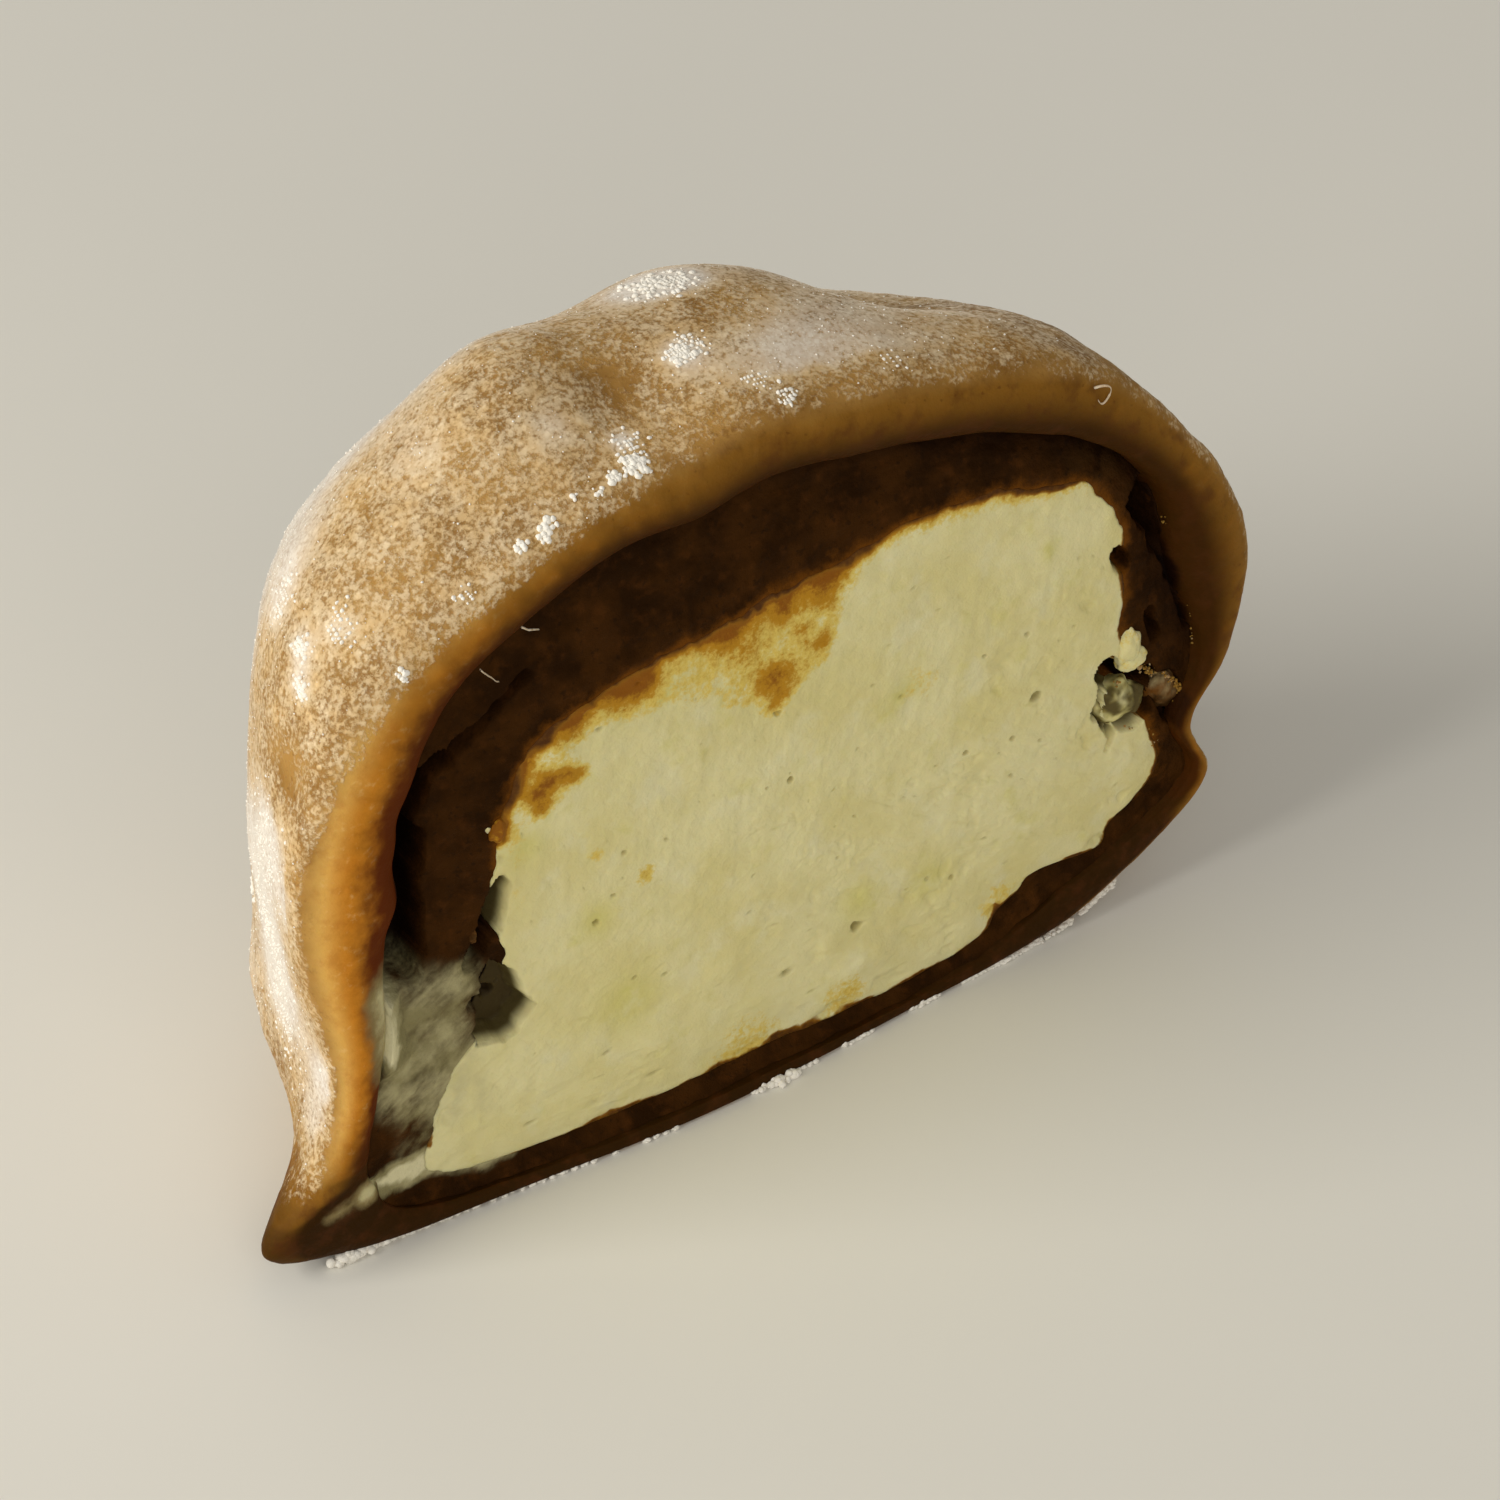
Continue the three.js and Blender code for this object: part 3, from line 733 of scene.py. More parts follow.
paste_lining = carried_back(
    paste_inside, wall_depths(face_y[-1] + 3.6, hole_depth, PASTE_INNER_ROWS), hole_depth, flat_hole
)[::-1]
paste = np.concatenate([paste_wall, face, paste_lining])


def only_face(values, before, after):
    """A mark of the face rows, carried on unchanged over the walls before and after them."""
    return np.concatenate([np.repeat(values[:1], before, 0), values, np.repeat(values[-1:], after, 0)])


def paste_colour(ink):
    dark = ink.cloud(3.0).step(0.35, 0.65).over(rgb(0.022, 0.0078, 0.0011), rgb(0.050, 0.0175, 0.0026))
    dark = (ink.cloud(0.9, 4).step(0.5, 0.75) * 0.25).over(dark, rgb(0.13, 0.042, 0.008))
    dark = (ink.mark("paler") * ink.cloud(1.6, 4).step(0.3, 0.6) * 0.7).over(dark, rgb(0.105, 0.046, 0.010))
    dark = (ink.cloud(0.5, 2).step(0.6, 0.7) * 0.6).over(dark, rgb(0.02, 0.008, 0.002))
    # Painted shade, nearly black, in the torn hollows and under the overhanging lip.
    dark = (ink.mark("shade_and_soil") * 0.96).over(dark, rgb(0.006, 0.002, 0.001))
    soaked = ink.mark("border") + (ink.cloud(1.1, 4, 0.65) - 0.5) * 1.6
    dark = (soaked.step(0.35, 1.2) * 0.75).over(dark, rgb(0.19, 0.062, 0.005))
    wiping = {"Rotation": (0, math.radians(-35), 0), "Scale": (3.5, 1, 1)}
    streaky = (ink.cloud(1.4, 5) - 0.5) * 0.5 + (ink.cloud(0.5, 3, stretch=wiping) - 0.5) * 0.4
    film = ink.mark("smear") + streaky * ink.mark("smear").step(0.02, 0.2)
    grey = ink.cloud(2.2, 5).step(0.35, 0.65).over(rgb(0.27, 0.235, 0.11), rgb(0.46, 0.41, 0.22))
    filmed = film.step(0.02, 0.5).over(dark, grey)
    return film.step(0.52, 0.88).over(filmed, rgb(0.74, 0.68, 0.42))


bean_paste = finish_of(
    "coffee_bean_paste",
    paste_colour,
    lambda ink: ink.cloud(1.2) * 0.3 + 0.5,
    0.14,
    lambda ink: ink.cloud(0.4, 4, 0.65),
    Specular_IOR_Level=0.03,
)
# Painted shade on the paste just under the lip along the top, where the lip overhangs it.
shaded = 0.7 * np.exp(-((face_share * paste_thick / 1.3) ** 2)) * np.clip(face[..., 2] / 4 - 3.7, 0, 1)
torn_side = np.where(face[..., 0] < -10, np.clip(face[..., 2] / 3 - 6.6, 0, 1), 1)
paste_marks = {
    "smear": smear,
    "shade_and_soil": np.maximum(np.clip(hollow / 1.5, 0, 1), shaded),
    "border": np.exp(-from_cream / 0.8) * np.clip(face[..., 2] / 8 - 0.4, 0, 1) * torn_side,
    "paler": np.exp(-(((face[..., 0] - 24) / 3) ** 2) - ((face[..., 2] - 33) / 3) ** 2),
}
paste_piece = layer(
    "coffee_bean_paste",
    paste,
    bean_paste,
    paste[0].mean(0),
    paste[-1].mean(0),
    {mark: only_face(v, PASTE_OUTER_ROWS, PASTE_INNER_ROWS) for mark, v in paste_marks.items()},
)
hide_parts("coffee_paste")

# Milk cream
# Whipped milk cream, set cold. The knife left a flat matt face with drag marks, a few burst air
# bubbles, ragged edges, and brown stains along the top where it pulled the coffee paste over it.
CREAM_WALL_ROWS, CREAM_FACE_ROWS = 14, 210
FACE_MIDDLE = np.array([3.0, CREAM_FACE, 17.0])
cream_outside = edge + inward * (skin_thick + paste_thick + TOUCHING)[:, None]
cream_depth = hole_depth - TOUCHING
rim = carried_back(cream_outside, np.full((1, AROUND), CREAM_EDGE), cream_depth, flat_hole)
cream_share = (np.arange(CREAM_FACE_ROWS) / CREAM_FACE_ROWS)[:, None] + np.zeros(AROUND)
cream_face = across(rim, FACE_MIDDLE, cream_share)
cream_face[..., 1] = rim[..., 1] + (CREAM_FACE - rim[..., 1]) * np.sqrt(cream_share)


def dragged(points, degrees, length, width, seed):
    """Random streaks from -1 to 1 along one direction of the cut face, of that length and width."""
    angle = math.radians(degrees)
    along = points[..., 0] * math.cos(angle) + points[..., 2] * math.sin(angle)
    aside = points[..., 2] * math.cos(angle) - points[..., 0] * math.sin(angle)
    return noise(np.stack([along * width / length, 0 * along, aside], -1), width, seed, 3)


# x, z, reach and height of the soft swellings, and x, z and size of the burst bubbles
SWELLINGS = [
    (6.3, 4.9, 1.0, 0.32),
    (7.8, 4.6, 0.8, 0.25),
    (4.6, 6.9, 0.6, 0.2),
    (-6.8, 5.5, 0.9, 0.25),
    (-2.6, 8.9, 0.9, 0.18),
    (-10.0, 31.0, 0.6, 0.2),
    (-12.2, 28.8, 0.6, 0.15),
    (-16.2, 26.6, 0.6, 0.35),
]
BUBBLES = [(2.1, 20.0, 0.2), (13.6, 16.4, 0.18), (16.7, 16.0, 0.16), (1.6, 6.4, 0.28), (6.3, 7.2, 0.3)]
BUBBLES += [(12.8, 7.6, 0.16), (15.0, 9.4, 0.14), (18.3, 18.2, 0.3)]
BUBBLES += [(1.3, 25.0, 0.2), (9.3, 22.4, 0.14), (-8.5, 20.0, 0.16), (-10.3, 15.8, 0.2), (-9.2, 17.3, 0.16)]
SMALL_BUBBLES = 100
seeded = np.random.default_rng(7)
for x, z, size in zip(
    seeded.uniform(-16, 25, SMALL_BUBBLES),
    seeded.uniform(3, 32, SMALL_BUBBLES),
    0.06 + 0.10 * seeded.random(SMALL_BUBBLES) ** 3,
):
    BUBBLES.append((x, z, size))

# x, z, half length and direction in degrees of the short nicks of the knife
NICKS = [(-10.3, 15.8, 0.4, 40), (-9.2, 17.3, 0.3, 30), (-8.5, 20.0, 0.4, 60), (-5.7, 21.3, 0.3, 10)]
NICKS += [(-11.7, 25.2, 0.3, 30), (-12.7, 15.7, 0.5, 35), (-2.8, 8.2, 0.4, -20), (-6.6, 10.8, 0.5, 30)]
NICKS += [(8.1, 15.4, 0.8, -40), (10.6, 13.3, 1.2, -38), (13.6, 11.3, 1.0, -32), (12.0, 21.5, 0.4, 70)]
RANDOM_NICKS, NICK_WIDTH = 46, 0.11
for x, z, half in zip(
    seeded.uniform(-16, 25, RANDOM_NICKS),
    seeded.uniform(3, 31, RANDOM_NICKS),
    seeded.uniform(0.15, 0.7, RANDOM_NICKS),
):
    NICKS.append((x, z, half, seeded.normal(38 if x < 2 else -32, 26)))

face_x, face_z = cream_face[..., 0], cream_face[..., 2]


def spot(x, z, reach):
    """A round soft spot on the cream's face: 1 in its middle, fading over its reach."""
    return np.exp(-((face_x - x) ** 2 + (face_z - z) ** 2) / (2 * reach * reach))


to_right = np.clip((face_x * 0.55 - face_z + 17) / 8, 0, 1)
to_left = np.clip((-face_x * 0.6 - face_z + 16) / 10, 0, 1) * (1 - to_right)
drag = dragged(cream_face, 82, 7, 0.8, 8) * (1 - to_right - to_left)
drag += 1.6 * dragged(cream_face, -33, 5, 1.0, 9) * to_right + dragged(cream_face, 24, 5, 1.0, 16) * to_left
chips = np.clip(noise(cream_face, 1.5, 12, 4) - 0.34, 0, 1)
cream_relief = 0.085 * drag + 0.06 * noise(cream_face, 0.6, 11, 3)
cream_relief += 0.9 * chips * (0.15 + to_right * 0.6 + np.exp(-cream_share * 12))
for x, z, reach, height in SWELLINGS:
    cream_relief -= height * spot(x, z, reach)
pits, uneven = 0, 1 + 0.6 * noise(cream_face, 0.35, 64, 2)
for x, z, size in BUBBLES:
    apart = np.hypot(face_x - x, (face_z - z) * 1.3) * uneven / size
    pits = np.maximum(pits, size * np.exp(-(apart**4)))
nicks = 0
for x, z, half, degrees in NICKS:
    angle = math.radians(degrees)
    along = (face_x - x) * math.cos(angle) + (face_z - z) * math.sin(angle)
    aside = (face_z - z) * math.cos(angle) - (face_x - x) * math.sin(angle)
    cut = np.exp(-((along / half) ** 4) - (aside * uneven / NICK_WIDTH) ** 2)
    nicks = np.maximum(nicks, cut * np.clip(1.4 - uneven, 0.3, 1))
from_rim = np.linalg.norm((cream_face - rim)[..., [0, 2]], axis=-1)
cream_hollow = hollowed(cream_face)
cream_face[..., 1] += wiped(cream_face) + cream_hollow
cream_face[..., 1] += (cream_relief + 1.6 * pits + 0.07 * nicks) * np.clip(from_rim / 0.3, 0, 1)
cream_wall = carried_back(
    cream_outside, wall_depths(CREAM_EDGE + 3.6, cream_depth, CREAM_WALL_ROWS), cream_depth, flat_hole
)
cream = np.concatenate([cream_wall, cream_face])

# x, z, reach and strength of the coffee stains
STAINS = [
    (1.1, 27.4, 0.95, 0.60),
    (1.3, 25.7, 0.55, 0.40),
    (-7.9, 31.0, 0.9, 0.66),
    (-6.6, 30.6, 0.6, 0.4),
    (-11.2, 30.1, 0.8, 0.66),
    (-12.9, 26.9, 0.75, 0.80),
    (-11.6, 27.0, 0.5, 0.46),
    (-13.3, 25.4, 0.45, 0.66),
    (-13.9, 26.3, 0.4, 0.5),
    (-10.9, 26.5, 0.4, 0.46),
    (-14.6, 28.4, 0.6, 0.5),
    (-15.9, 25.2, 0.36, 1.1),
    (-16.2, 24.2, 0.4, 0.7),
    (4.2, 28.5, 0.6, 0.42),
    (-1.7, 31.4, 0.8, 0.44),
    (1.7, 31.7, 0.7, 0.5),
    (4.4, 32.0, 0.9, 0.5),
    (2.9, 29.8, 0.4, 0.34),
    (-0.4, 29.9, 0.7, 0.3),
    (-7.2, 17.8, 0.4, 0.40),
    (-10.2, 20.6, 0.35, 0.24),
    (10.6, 22.8, 1.2, 0.13),
    (5.5, 2.8, 0.9, 0.26),
    (-1.0, 2.6, 1.3, 0.24),
    (16.0, 4.4, 0.8, 0.22),
]
# Outlines in x and z of the yellowed stretch along the top, and of the left edge, which the knife
# wiped clean
YELLOWED = [(-10.5, 30), (-5.3, 28.2), (-2.8, 27.8), (-0.2, 26.2), (2.4, 26), (4.4, 27), (6.2, 33), (-8, 33)]
CLEAN_EDGE = [(-20, 23.4), (-15.4, 23.6), (-15.2, 20), (-14.6, 13), (-14.2, 11)]
CLEAN_EDGE += [(-16.2, 5), (-14.5, 2.5), (-20, 2.5)]
# x, z and reach of the greenish spots
GREENISH = [(-14.4, 23.1, 0.9), (-10.3, 16, 0.9), (-8.6, 9.3, 1.4), (6.6, 9.1, 1.0), (11.2, 8.3, 1.0)]
GREENISH += [(9.3, 22.6, 0.9), (19.1, 28.2, 0.4), (-8.4, 30.2, 0.5), (-5.9, 29.6, 0.6)]
stain = 0.19 * inside(cream_face, YELLOWED, 0, 61, 0.9, 0.7)
for x, z, reach, strength in STAINS:
    stain = stain + strength * spot(x, z, reach)
greenish = sum(spot(x, z, reach) for x, z, reach in GREENISH)
upper = np.clip((face_z - 0.45 * face_x - 20) / 10, 0, 1)
jagged = from_rim + 0.55 * noise(cream_face, 1.9, 62, 3) + 0.14 * noise(cream_face, 0.4, 63, 2)
stain = stain + 0.55 * upper * np.exp(-((np.maximum(jagged, 0) / 0.62) ** 2))
stain = stain + (0.10 + 0.34 * upper) * np.exp(-np.maximum(jagged, 0) / 0.9)
film = smeared(cream_face, FILM, 2.6)
wiped_clean = inside(cream_face, CLEAN_EDGE, 0.2, 65, 0.3, 1.0)
wiped_clean = np.minimum(film * 2 + smeared(cream_face, DRAGGED_CREAM, 0.7) * 1.5 + wiped_clean, 1)
stain = stain * (1 - wiped_clean)
soiled_rim = np.exp(-((np.maximum(jagged, 0) / (0.18 + 0.26 * upper)) ** 2)) * (1 - wiped_clean)


def cream_colour(ink):
    pale = ink.cloud(5).step(0.3, 0.7).over(rgb(0.735, 0.655, 0.30), rgb(0.80, 0.735, 0.40))
    yellowish = ink.cloud(2.2, 4).step(0.58, 0.8) * 0.5 + ink.mark("green") * 0.7
    pale = yellowish.over(pale, rgb(0.66, 0.60, 0.18))
    pale = (ink.cloud(3.2, 4).step(0.52, 0.72) * 0.5).over(pale, rgb(0.80, 0.76, 0.50))
    pale = (ink.cloud(0.5, 3).step(0.6, 0.8) * 0.2).over(pale, rgb(0.60, 0.53, 0.22))
    pale = (ink.mark("nick") * 0.3).over(pale, rgb(0.44, 0.38, 0.11))
    # Painted shade in the burst bubbles.
    pale = (ink.mark("pit_shade_and_soil") * 0.7).over(pale, rgb(0.26, 0.20, 0.05))
    blotchy = (ink.cloud(1.0, 5, 0.7) - 0.5) * 0.75 + (ink.cloud(0.3, 3, 0.7) - 0.5) * 0.6
    soaked = ink.mark("stain") + blotchy * ink.mark("stain").step(0.0, 0.15)
    tinted = soaked.step(0.06, 0.3).over(pale, rgb(0.74, 0.56, 0.13))
    ochre = soaked.step(0.26, 0.58).over(tinted, rgb(0.50, 0.245, 0.012))
    brown = soaked.step(0.6, 0.95).over(ochre, rgb(0.27, 0.092, 0.003))
    soiled = ink.mark("rim") + (ink.cloud(0.5, 4) - 0.5) * 0.7
    brown = soiled.step(0.15, 0.7).over(brown, rgb(0.28, 0.115, 0.006))
    brown = soiled.step(0.55, 1.1).over(brown, rgb(0.085, 0.028, 0.003))
    film = ink.mark("smear") + (ink.cloud(1.0, 5) - 0.5) * 0.5
    brown = (film.step(0.1, 0.6) * 0.7).over(brown, rgb(0.55, 0.50, 0.27))
    # Painted shade in the torn hollows, partly coffee soaked into them: dark olive, and nearly black in the
    # deepest.
    shade_and_soil = ink.mark("shade_and_soil")
    shaded = shade_and_soil.step(0.12, 0.55).over(brown, rgb(0.105, 0.078, 0.024))
    return shade_and_soil.step(0.72, 1.05).over(shaded, rgb(0.030, 0.015, 0.004))


milk_cream = finish_of(
    "whipped_milk_cream",
    cream_colour,
    lambda ink: ink.cloud(0.8) * 0.25 + 0.55,
    0.09,
    lambda ink: ink.cloud(0.3, 3, 0.6) * 0.35 + ink.cloud(1.4, 5, 0.6) * 1.6,
    Subsurface_Weight=0.25,
    Subsurface_Radius=(1.0, 0.75, 0.4),
    Subsurface_Scale=0.5 * MM,
    Specular_IOR_Level=0.15,
)
cream_marks = {
    "stain": stain,
    "rim": soiled_rim,
    "green": np.minimum(greenish, 1),
    "smear": film,
    "pit_shade_and_soil": np.clip(pits * 5, 0, 1),
    "nick": nicks,
    "shade_and_soil": np.clip(cream_hollow / 2.0, 0, 1),
}
cream_piece = layer(
    "milk_cream",
    cream,
    milk_cream,
    cream[0].mean(0),
    FACE_MIDDLE + np.array([0, cream_face[-1, :, 1].mean() - CREAM_FACE, 0]),
    {mark: only_face(v, CREAM_WALL_ROWS, 0) for mark, v in cream_marks.items()},
)
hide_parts("milk_cream")

# Torn bits in the cut
# Lumps of cream and paste that the knife broke loose. They still stick in the torn hollows at the left
# and the right of the cut.
def knobbly(places, radii, seed, fineness, roughness):
    """Points and triangles of many lumps, each one uneven and turned its own way. All in mm."""
    shape = bmesh.new()
    bmesh.ops.create_icosphere(shape, subdivisions=fineness, radius=1)
    unit = np.array([vert.co[:] for vert in shape.verts])
    triangles = np.array([[vert.index for vert in face.verts] for face in shape.faces])
    shape.free()
    random = np.random.default_rng(seed)
    w, x, y, z = (turn := random.normal(size=(4, len(places)))) / np.linalg.norm(turn, axis=0)
    turns = np.array(
        [
            [1 - 2 * (y * y + z * z), 2 * (x * y - z * w), 2 * (x * z + y * w)],
            [2 * (x * y + z * w), 1 - 2 * (x * x + z * z), 2 * (y * z - x * w)],
            [2 * (x * z - y * w), 2 * (y * z + x * w), 1 - 2 * (x * x + y * y)],
        ]
    )
    turned = np.einsum("ijn,vj->nvi", turns, unit)
    swell = 1 + roughness * noise(turned * 1.5 + 31 * random.random((len(places), 1, 3)), 1, seed, 2)
    points = np.asarray(places)[:, None] + turned * swell[..., None] * np.asarray(radii)[:, None]
    offsets = (np.arange(len(places)) * len(unit))[:, None, None]
    return points.reshape(-1, 3), (triangles + offsets).reshape(-1, 3).tolist()


# x, y, z and the three radii of each lump
CREAM_LUMPS = [
    ((24.8, 1.2, 18.5), (0.8, 0.65, 1.55)),
    ((25.1, 1.25, 17.5), (1.0, 0.65, 0.9)),
    ((-16.2, 1.35, 25.5), (0.5, 0.3, 0.8)),
]
STAINED_LUMPS = [
    ((-15.9, 1.1, 25.0), (0.55, 0.35, 0.9)),
]
GREY_LUMPS = [
    ((24.3, 1.7, 14.6), (1.35, 1.1, 1.5)),
    ((25.5, 1.8, 14.3), (0.9, 0.8, 1.0)),
]
PASTE_LUMPS = [
    ((27.6, 1.8, 13.9), (1.1, 0.9, 1.3)),
    ((28.6, 1.3, 12.5), (0.5, 0.4, 0.5)),
    ((26.7, 1.6, 12.6), (0.6, 0.5, 0.6)),
    ((-17.6, 1.5, 18.0), (0.3, 0.3, 0.5)),
]
clean = {"stain": 0.1, "rim": 0, "nick": 0, "pit_shade_and_soil": 0, "shade_and_soil": 0, "green": 0, "smear": 0}
stained = {**clean, "stain": 1.1, "rim": 0.3}
grey = {**clean, "stain": 0.1, "pit_shade_and_soil": 0.3, "shade_and_soil": 0.4, "green": 1}
dirty = {"smear": 0.1, "shade_and_soil": 0, "border": 0.75, "paler": 0.6}
for name, lumps, material, slot, marks in (
    ("loose_cream_lumps", CREAM_LUMPS, milk_cream, "milk_cream", clean),
    ("stained_cream_lumps", STAINED_LUMPS, milk_cream, "milk_cream", stained),
    ("soiled_cream_lumps", GREY_LUMPS, milk_cream, "milk_cream", grey),
    ("loose_paste_lumps", PASTE_LUMPS, bean_paste, "coffee_paste", dirty),
):
    points, triangles = knobbly([at for at, _ in lumps], [size for _, size in lumps], 3, 5, 0.3)
    blotches = 1 + 1.6 * noise(points, 1.0, 71, 4)
    mesh_piece(name, points, triangles, material, {k: v * blotches for k, v in marks.items()})

# Dough threads and crumbs
# Fine sticky threads that the dough drew when the knife pulled its lip away from the paste, and the
# pale crumbs of dough that stayed along the torn edges at the right of the cut.
THREADS = [
    ((-13.9, 1.2, 37.5), (-13.1, 1.3, 37.0), (-12.5, 1.8, 36.3)),
    ((-16.4, 1.2, 35.8), (-15.8, 1.3, 34.9), (-14.9, 1.9, 34.0)),
    ((21.2, 0.1, 38.6), (22.4, -0.2, 38.7), (22.2, 0.1, 37.7)),
    ((22.2, 0.1, 37.7), (21.5, -0.2, 37.2), (21.3, -0.1, 37.8)),
]
THREAD_RADIUS, THREAD_RINGS, THREAD_SIDES = 0.07, 24, 6


def all_over(marks, points):
    """The same value of each mark at all of the points."""
    return {mark: np.full(len(points), value) for mark, value in marks.items()}


tubes, walls = [], []
turn = np.arange(THREAD_SIDES) * 2 * np.pi / THREAD_SIDES
for number, (start, middle, end) in enumerate(np.array(THREADS)):
    t = np.linspace(0, 1, THREAD_RINGS)[:, None]
    line = (1 - t) ** 2 * start + 2 * t * (1 - t) * middle + t**2 * end
    line += 0.12 * noise(line + 9 * number, 1.2, 30, 2)[:, None] * np.array([0.5, 0, 1])
    girth = THREAD_RADIUS * (1.1 - 0.5 * t)
    ring = girth[..., None] * np.stack([0 * turn, np.cos(turn), np.sin(turn)], -1)
    first = len(tubes) * THREAD_RINGS * THREAD_SIDES
    tubes.append((line[:, None] + ring).reshape(-1, 3))
    for a, b in itertools.product(range(THREAD_RINGS - 1), range(THREAD_SIDES)):
        low, nearby = first + a * THREAD_SIDES, (b + 1) % THREAD_SIDES
        walls.append((low + b, low + nearby, low + THREAD_SIDES + nearby, low + THREAD_SIDES + b))
points = np.concatenate(tubes)
sticky = {"lip": 0.1, "dust_and_sheen": 0.6, "light": 0.6, "smear": 0, "shade_and_soil": 0}
mesh_piece("dough_threads", points, walls, mochi, all_over(sticky, points))

# Lines of x, y and z, the number of crumbs along each, their size and how far they stray
ROUND_THE_HOLLOW = [(26.2, 1.4, 15.9), (27.4, 1.2, 15.3), (28.3, 1.1, 14.3)]
ROUND_THE_HOLLOW += [(28.5, 1.1, 13.2), (28.0, 1.1, 12.3)]
ALONG_THE_CREVICE = [(27.2, 1.5, 26.4), (28.0, 1.5, 24.6), (28.7, 1.4, 22.4)]
ALONG_THE_CREVICE += [(29.4, 1.3, 19.4), (29.4, 1.2, 16.6)]
CRUMB_LINES = [
    (ROUND_THE_HOLLOW, 60, 0.09, 0.12),
    ([(25.8, 1.3, 16.4), (26.8, 1.3, 16.0)], 12, 0.1, 0.16),
    (ALONG_THE_CREVICE, 90, 0.055, 0.12),
    ([(24.7, 1.1, 12.7), (25.6, 1.1, 12.1), (26.4, 1.1, 11.6), (27.0, 1.0, 10.6)], 50, 0.07, 0.2),
    ([(24.9, 1.1, 16.9), (24.0, 1.2, 16.1)], 12, 0.07, 0.2),
    ([(28.7, 1.1, 12.0), (28.6, 1.0, 10.4)], 16, 0.07, 0.14),
]
strewn = np.random.default_rng(19)
spots, sizes = [], []
for line, number, size, stray in CRUMB_LINES:
    corners = np.array(line)
    along = strewn.uniform(0, len(corners) - 1, number)
    spots.append(np.stack([np.interp(along, np.arange(len(corners)), axis) for axis in corners.T], -1))
    spots[-1] += strewn.normal(0, stray, (number, 3)) * np.array([1, 0.4, 1])
    sizes.append(size * strewn.uniform(0.4, 1.3, number))
crumb_radii = np.concatenate(sizes)[:, None] * strewn.uniform(0.7, 1.3, (sum(map(len, sizes)), 3))
points, triangles = knobbly(np.concatenate(spots), crumb_radii, 17, 2, 0.7)
pale = {"lip": 0.2, "dust_and_sheen": 0.1, "light": 0.3, "smear": 0, "shade_and_soil": 0}
mesh_piece("dough_crumbs", points, triangles, mochi, all_over(pale, points))

# Potato starch
# The starch that keeps rice cakes from sticking. It lies on the skin as fine grains, as clumps where
# the fingers pressed it on, and as a crumbly line that the knife pushed out along the foot of the cut.
starch = finish_of(
    "potato_starch",
    lambda ink: ink.cloud(0.8).over(rgb(0.86, 0.81, 0.71), rgb(0.94, 0.91, 0.85)),
    lambda ink: ink.cloud(0.5) * 0.1 + 0.85,
    0.03,
    lambda ink: ink.cloud(0.12, 2),
    Specular_IOR_Level=0.1,
)
GRAINS = 6000
sown = np.random.default_rng(11)
facing = outward(skin)
down, along = np.diff(skin, axis=0, append=skin[-1:]), np.roll(skin, -1, 1) - skin
area = np.linalg.norm(np.cross(down, along), axis=-1)
likely = area * np.clip(dust_and_sheen - 0.2, 0, 1) ** 1.3
likely[-INNER_ROWS:] = 0
chosen = sown.choice(likely.size, GRAINS, p=(likely / likely.sum()).ravel())
row, column = np.divmod(chosen, AROUND)
radius = 0.026 + 0.05 * sown.random(GRAINS) ** 4
spots = skin[row, column] + down[row, column] * sown.random((GRAINS, 1))
spots += along[row, column] * sown.random((GRAINS, 1))
spots += facing[row, column] * radius[:, None] * 0.1
grain_radii = radius[:, None] * sown.uniform(0.7, 1.3, (GRAINS, 3))
grains, triangles = knobbly(spots, grain_radii, 12, 1, 0.3)
mesh_piece("starch_grains", grains, triangles, starch)

# x, y, z, spread, number and size of the lumps in each clump
CLUMPS = [
    (-6.6, 1.6, 44.6, 0.36, 30, 0.26),
    (-6.2, 2.6, 45.0, 0.5, 14, 0.18),
    (-8.0, 1.5, 44.5, 0.22, 9, 0.24),
    (-9.1, 1.1, 44.1, 0.12, 5, 0.2),
    (-10.3, 1.5, 44.2, 0.1, 4, 0.18),
    (-12.1, 1.2, 43.5, 0.2, 9, 0.28),
    (-12.4, 0.9, 42.9, 0.16, 6, 0.22),
    (-13.7, 1.1, 42.8, 0.16, 7, 0.24),
    (-17.0, 1.2, 41.0, 0.3, 5, 0.15),
    (-21.1, 0.8, 38.1, 0.15, 7, 0.22),
    (2.7, 1.8, 45.0, 0.35, 12, 0.18),
    (1.8, 3.0, 45.5, 0.4, 9, 0.14),
    (9.7, 2.4, 44.0, 0.5, 8, 0.13),
    (-0.9, 6.1, 46.5, 0.4, 26, 0.24),
    (-0.2, 6.3, 46.4, 0.6, 16, 0.16),
    (1.4, 12.4, 46.0, 0.9, 34, 0.24),
    (2.8, 12.2, 46.0, 0.7, 18, 0.2),
    (-24.2, 5.8, 37.8, 0.35, 16, 0.22),
    (-22.7, 4.3, 39.4, 0.6, 16, 0.16),
    (-24.9, 4.8, 36.3, 0.35, 14, 0.2),
    (-23.1, 9.6, 37.9, 0.7, 18, 0.16),
    (-27.0, 6.0, 25.5, 1.6, 40, 0.14),
    (-26.4, 7.6, 18.2, 1.8, 50, 0.15),
    (-26.1, 7.0, 13.0, 1.6, 40, 0.14),
    (-24.6, 12.8, 16.5, 0.3, 8, 0.24),
]
spots, sizes = [], []
for x, y, z, spread, number, size in CLUMPS:
    spots.append(np.array([x, y, z]) + sown.normal(0, spread * 0.9, (3 * number, 3)))
    sizes.append(size * sown.uniform(0.3, 0.85, 3 * number))
spots, sizes = np.concatenate(spots), np.concatenate(sizes)
surface = skin[: OUTER_ROWS + LIP_ROWS // 2].reshape(-1, 3)
nearest = np.array([np.argmin(np.sum((surface - spot) ** 2, axis=-1)) for spot in spots])
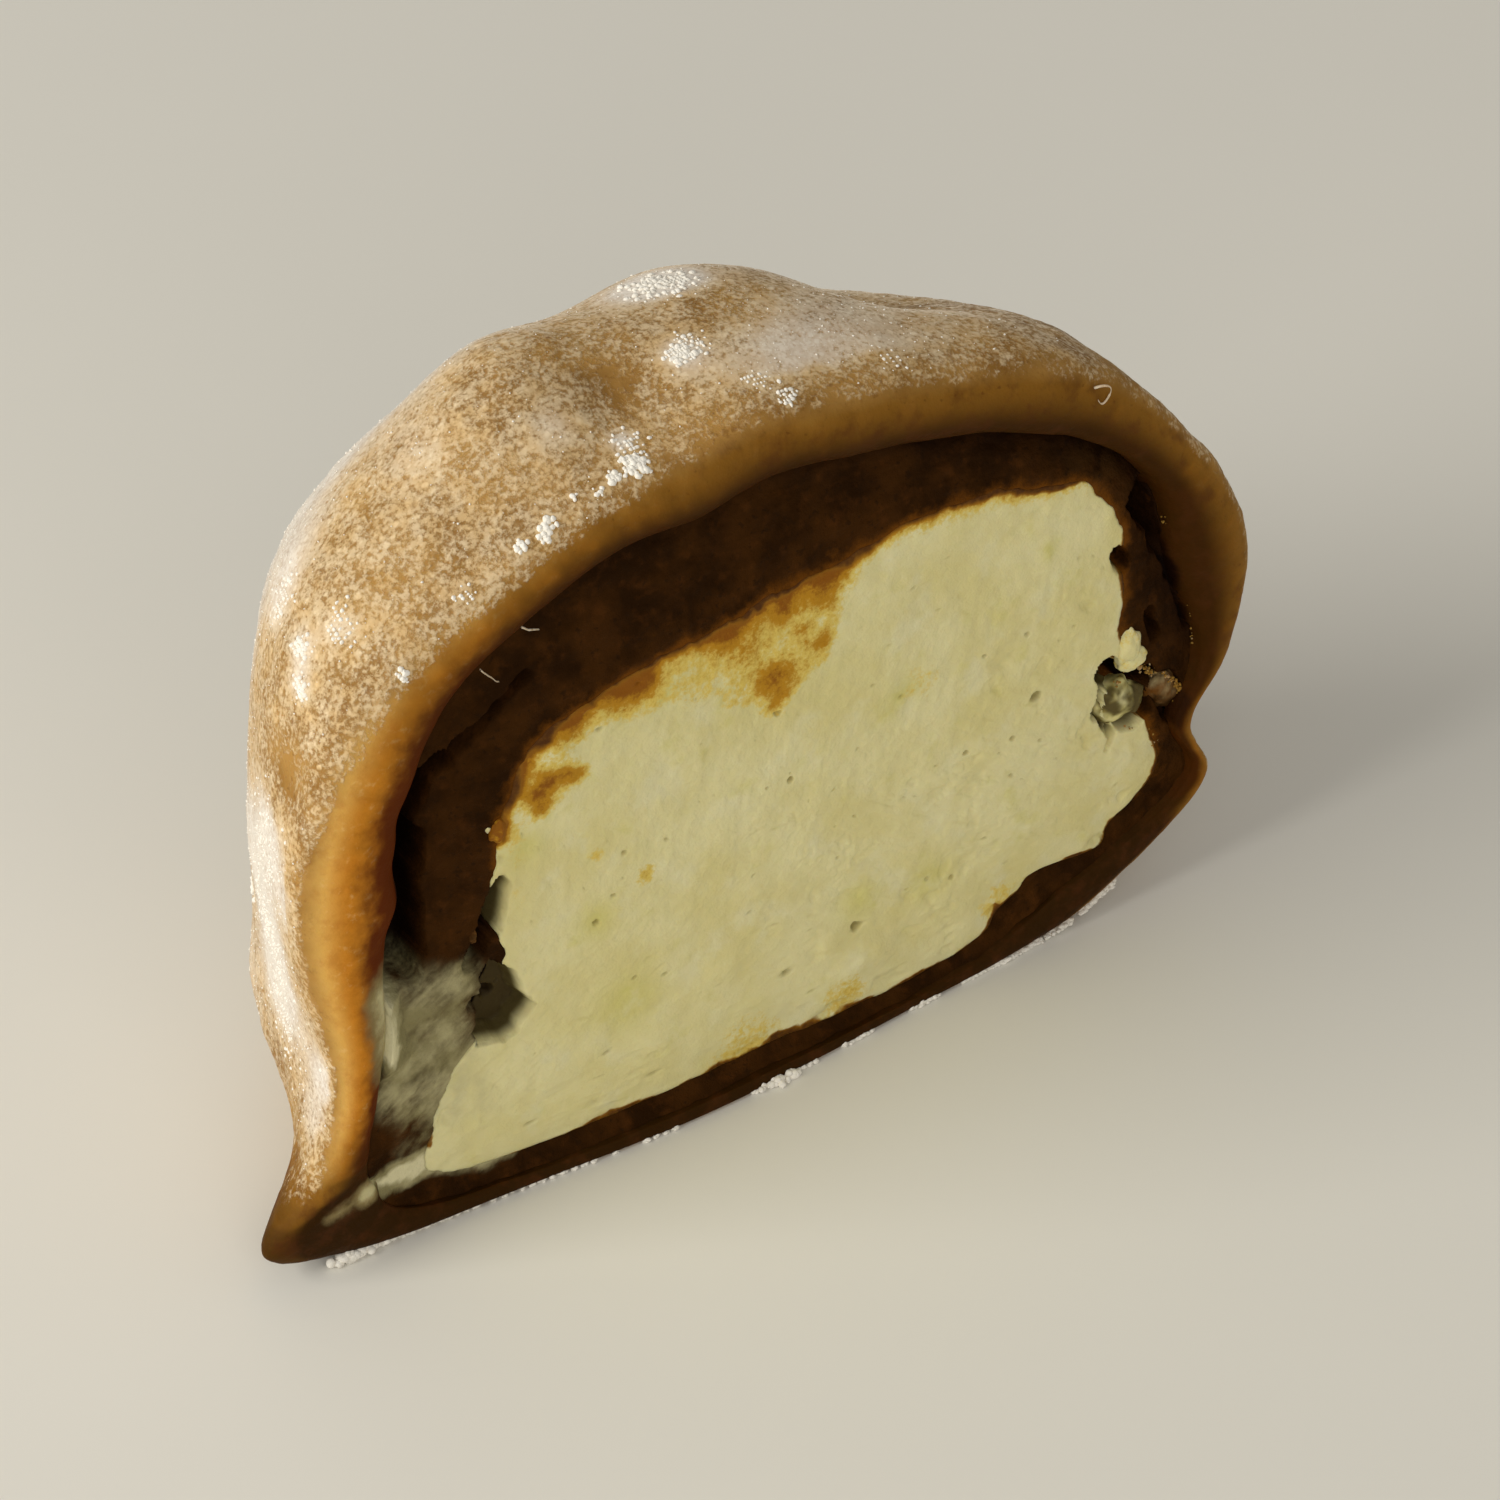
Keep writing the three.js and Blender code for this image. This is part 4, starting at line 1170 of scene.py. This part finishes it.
spots = surface[nearest] + facing.reshape(-1, 3)[nearest] * sizes[:, None] * -0.3

# Two flat crumbs of starch, one before the foot of the cut and one at the heel
CRUMB_LUMPS = 60
crumb_at = np.array([0.0, -0.95, 0.2]) + sown.normal(0, 1, (CRUMB_LUMPS, 3)) * np.array([0.8, 0.12, 0.08])
heel_at = np.array([-26.5, 0.35, 0.3]) + sown.normal(0, 1, (CRUMB_LUMPS, 3)) * np.array([0.7, 0.1, 0.12])
spots = np.concatenate([spots, crumb_at, heel_at])
crumb_sizes, heel_sizes = sown.uniform(0.12, 0.26, CRUMB_LUMPS), sown.uniform(0.15, 0.32, CRUMB_LUMPS)
sizes = np.concatenate([sizes, crumb_sizes, heel_sizes])
clump_radii = sizes[:, None] * sown.uniform(0.75, 1.25, (len(sizes), 3))
clumps, triangles = knobbly(spots, clump_radii, 13, 2, 0.4)
clumps[:, 2] = np.maximum(clumps[:, 2], 0.01)
mesh_piece("starch_clumps", clumps, triangles, starch)

# The line that the knife pushed out along the foot of the cut, thicker at the heel
LINE_LUMPS, FOOT_ROW = 5000, OUTER_ROWS + 6
foot = skin[FOOT_ROW][(skin[FOOT_ROW, :, 2] < 1.9) & (edge[:, 0] > -27) & (edge[:, 0] < 24.5)]
picked = foot[sown.integers(0, len(foot), LINE_LUMPS)]
picked = picked[noise(picked, 2.2, 21, 4) > -0.12 - 0.6 * (picked[:, 0] < -22)]
line_sizes = 0.035 + 0.12 * sown.random(len(picked)) ** 3 + 0.06 * (picked[:, 0] < -24)
line = picked + sown.normal(0, 0.07, picked.shape) - np.array([0, 0.08, 0])
line[:, 2] = line_sizes * 0.6 + np.maximum(picked[:, 2] - 0.4, 0) + 0.12 * sown.random(len(picked)) ** 2
line_radii = line_sizes[:, None] * sown.uniform(0.75, 1.25, (len(picked), 3)) * np.array([1.4, 1, 1])
pushed_out, triangles = knobbly(line, line_radii, 14, 1, 0.5)
pushed_out[:, 2] = np.maximum(pushed_out[:, 2], 0.01)
mesh_piece("starch_line", pushed_out, triangles, starch)
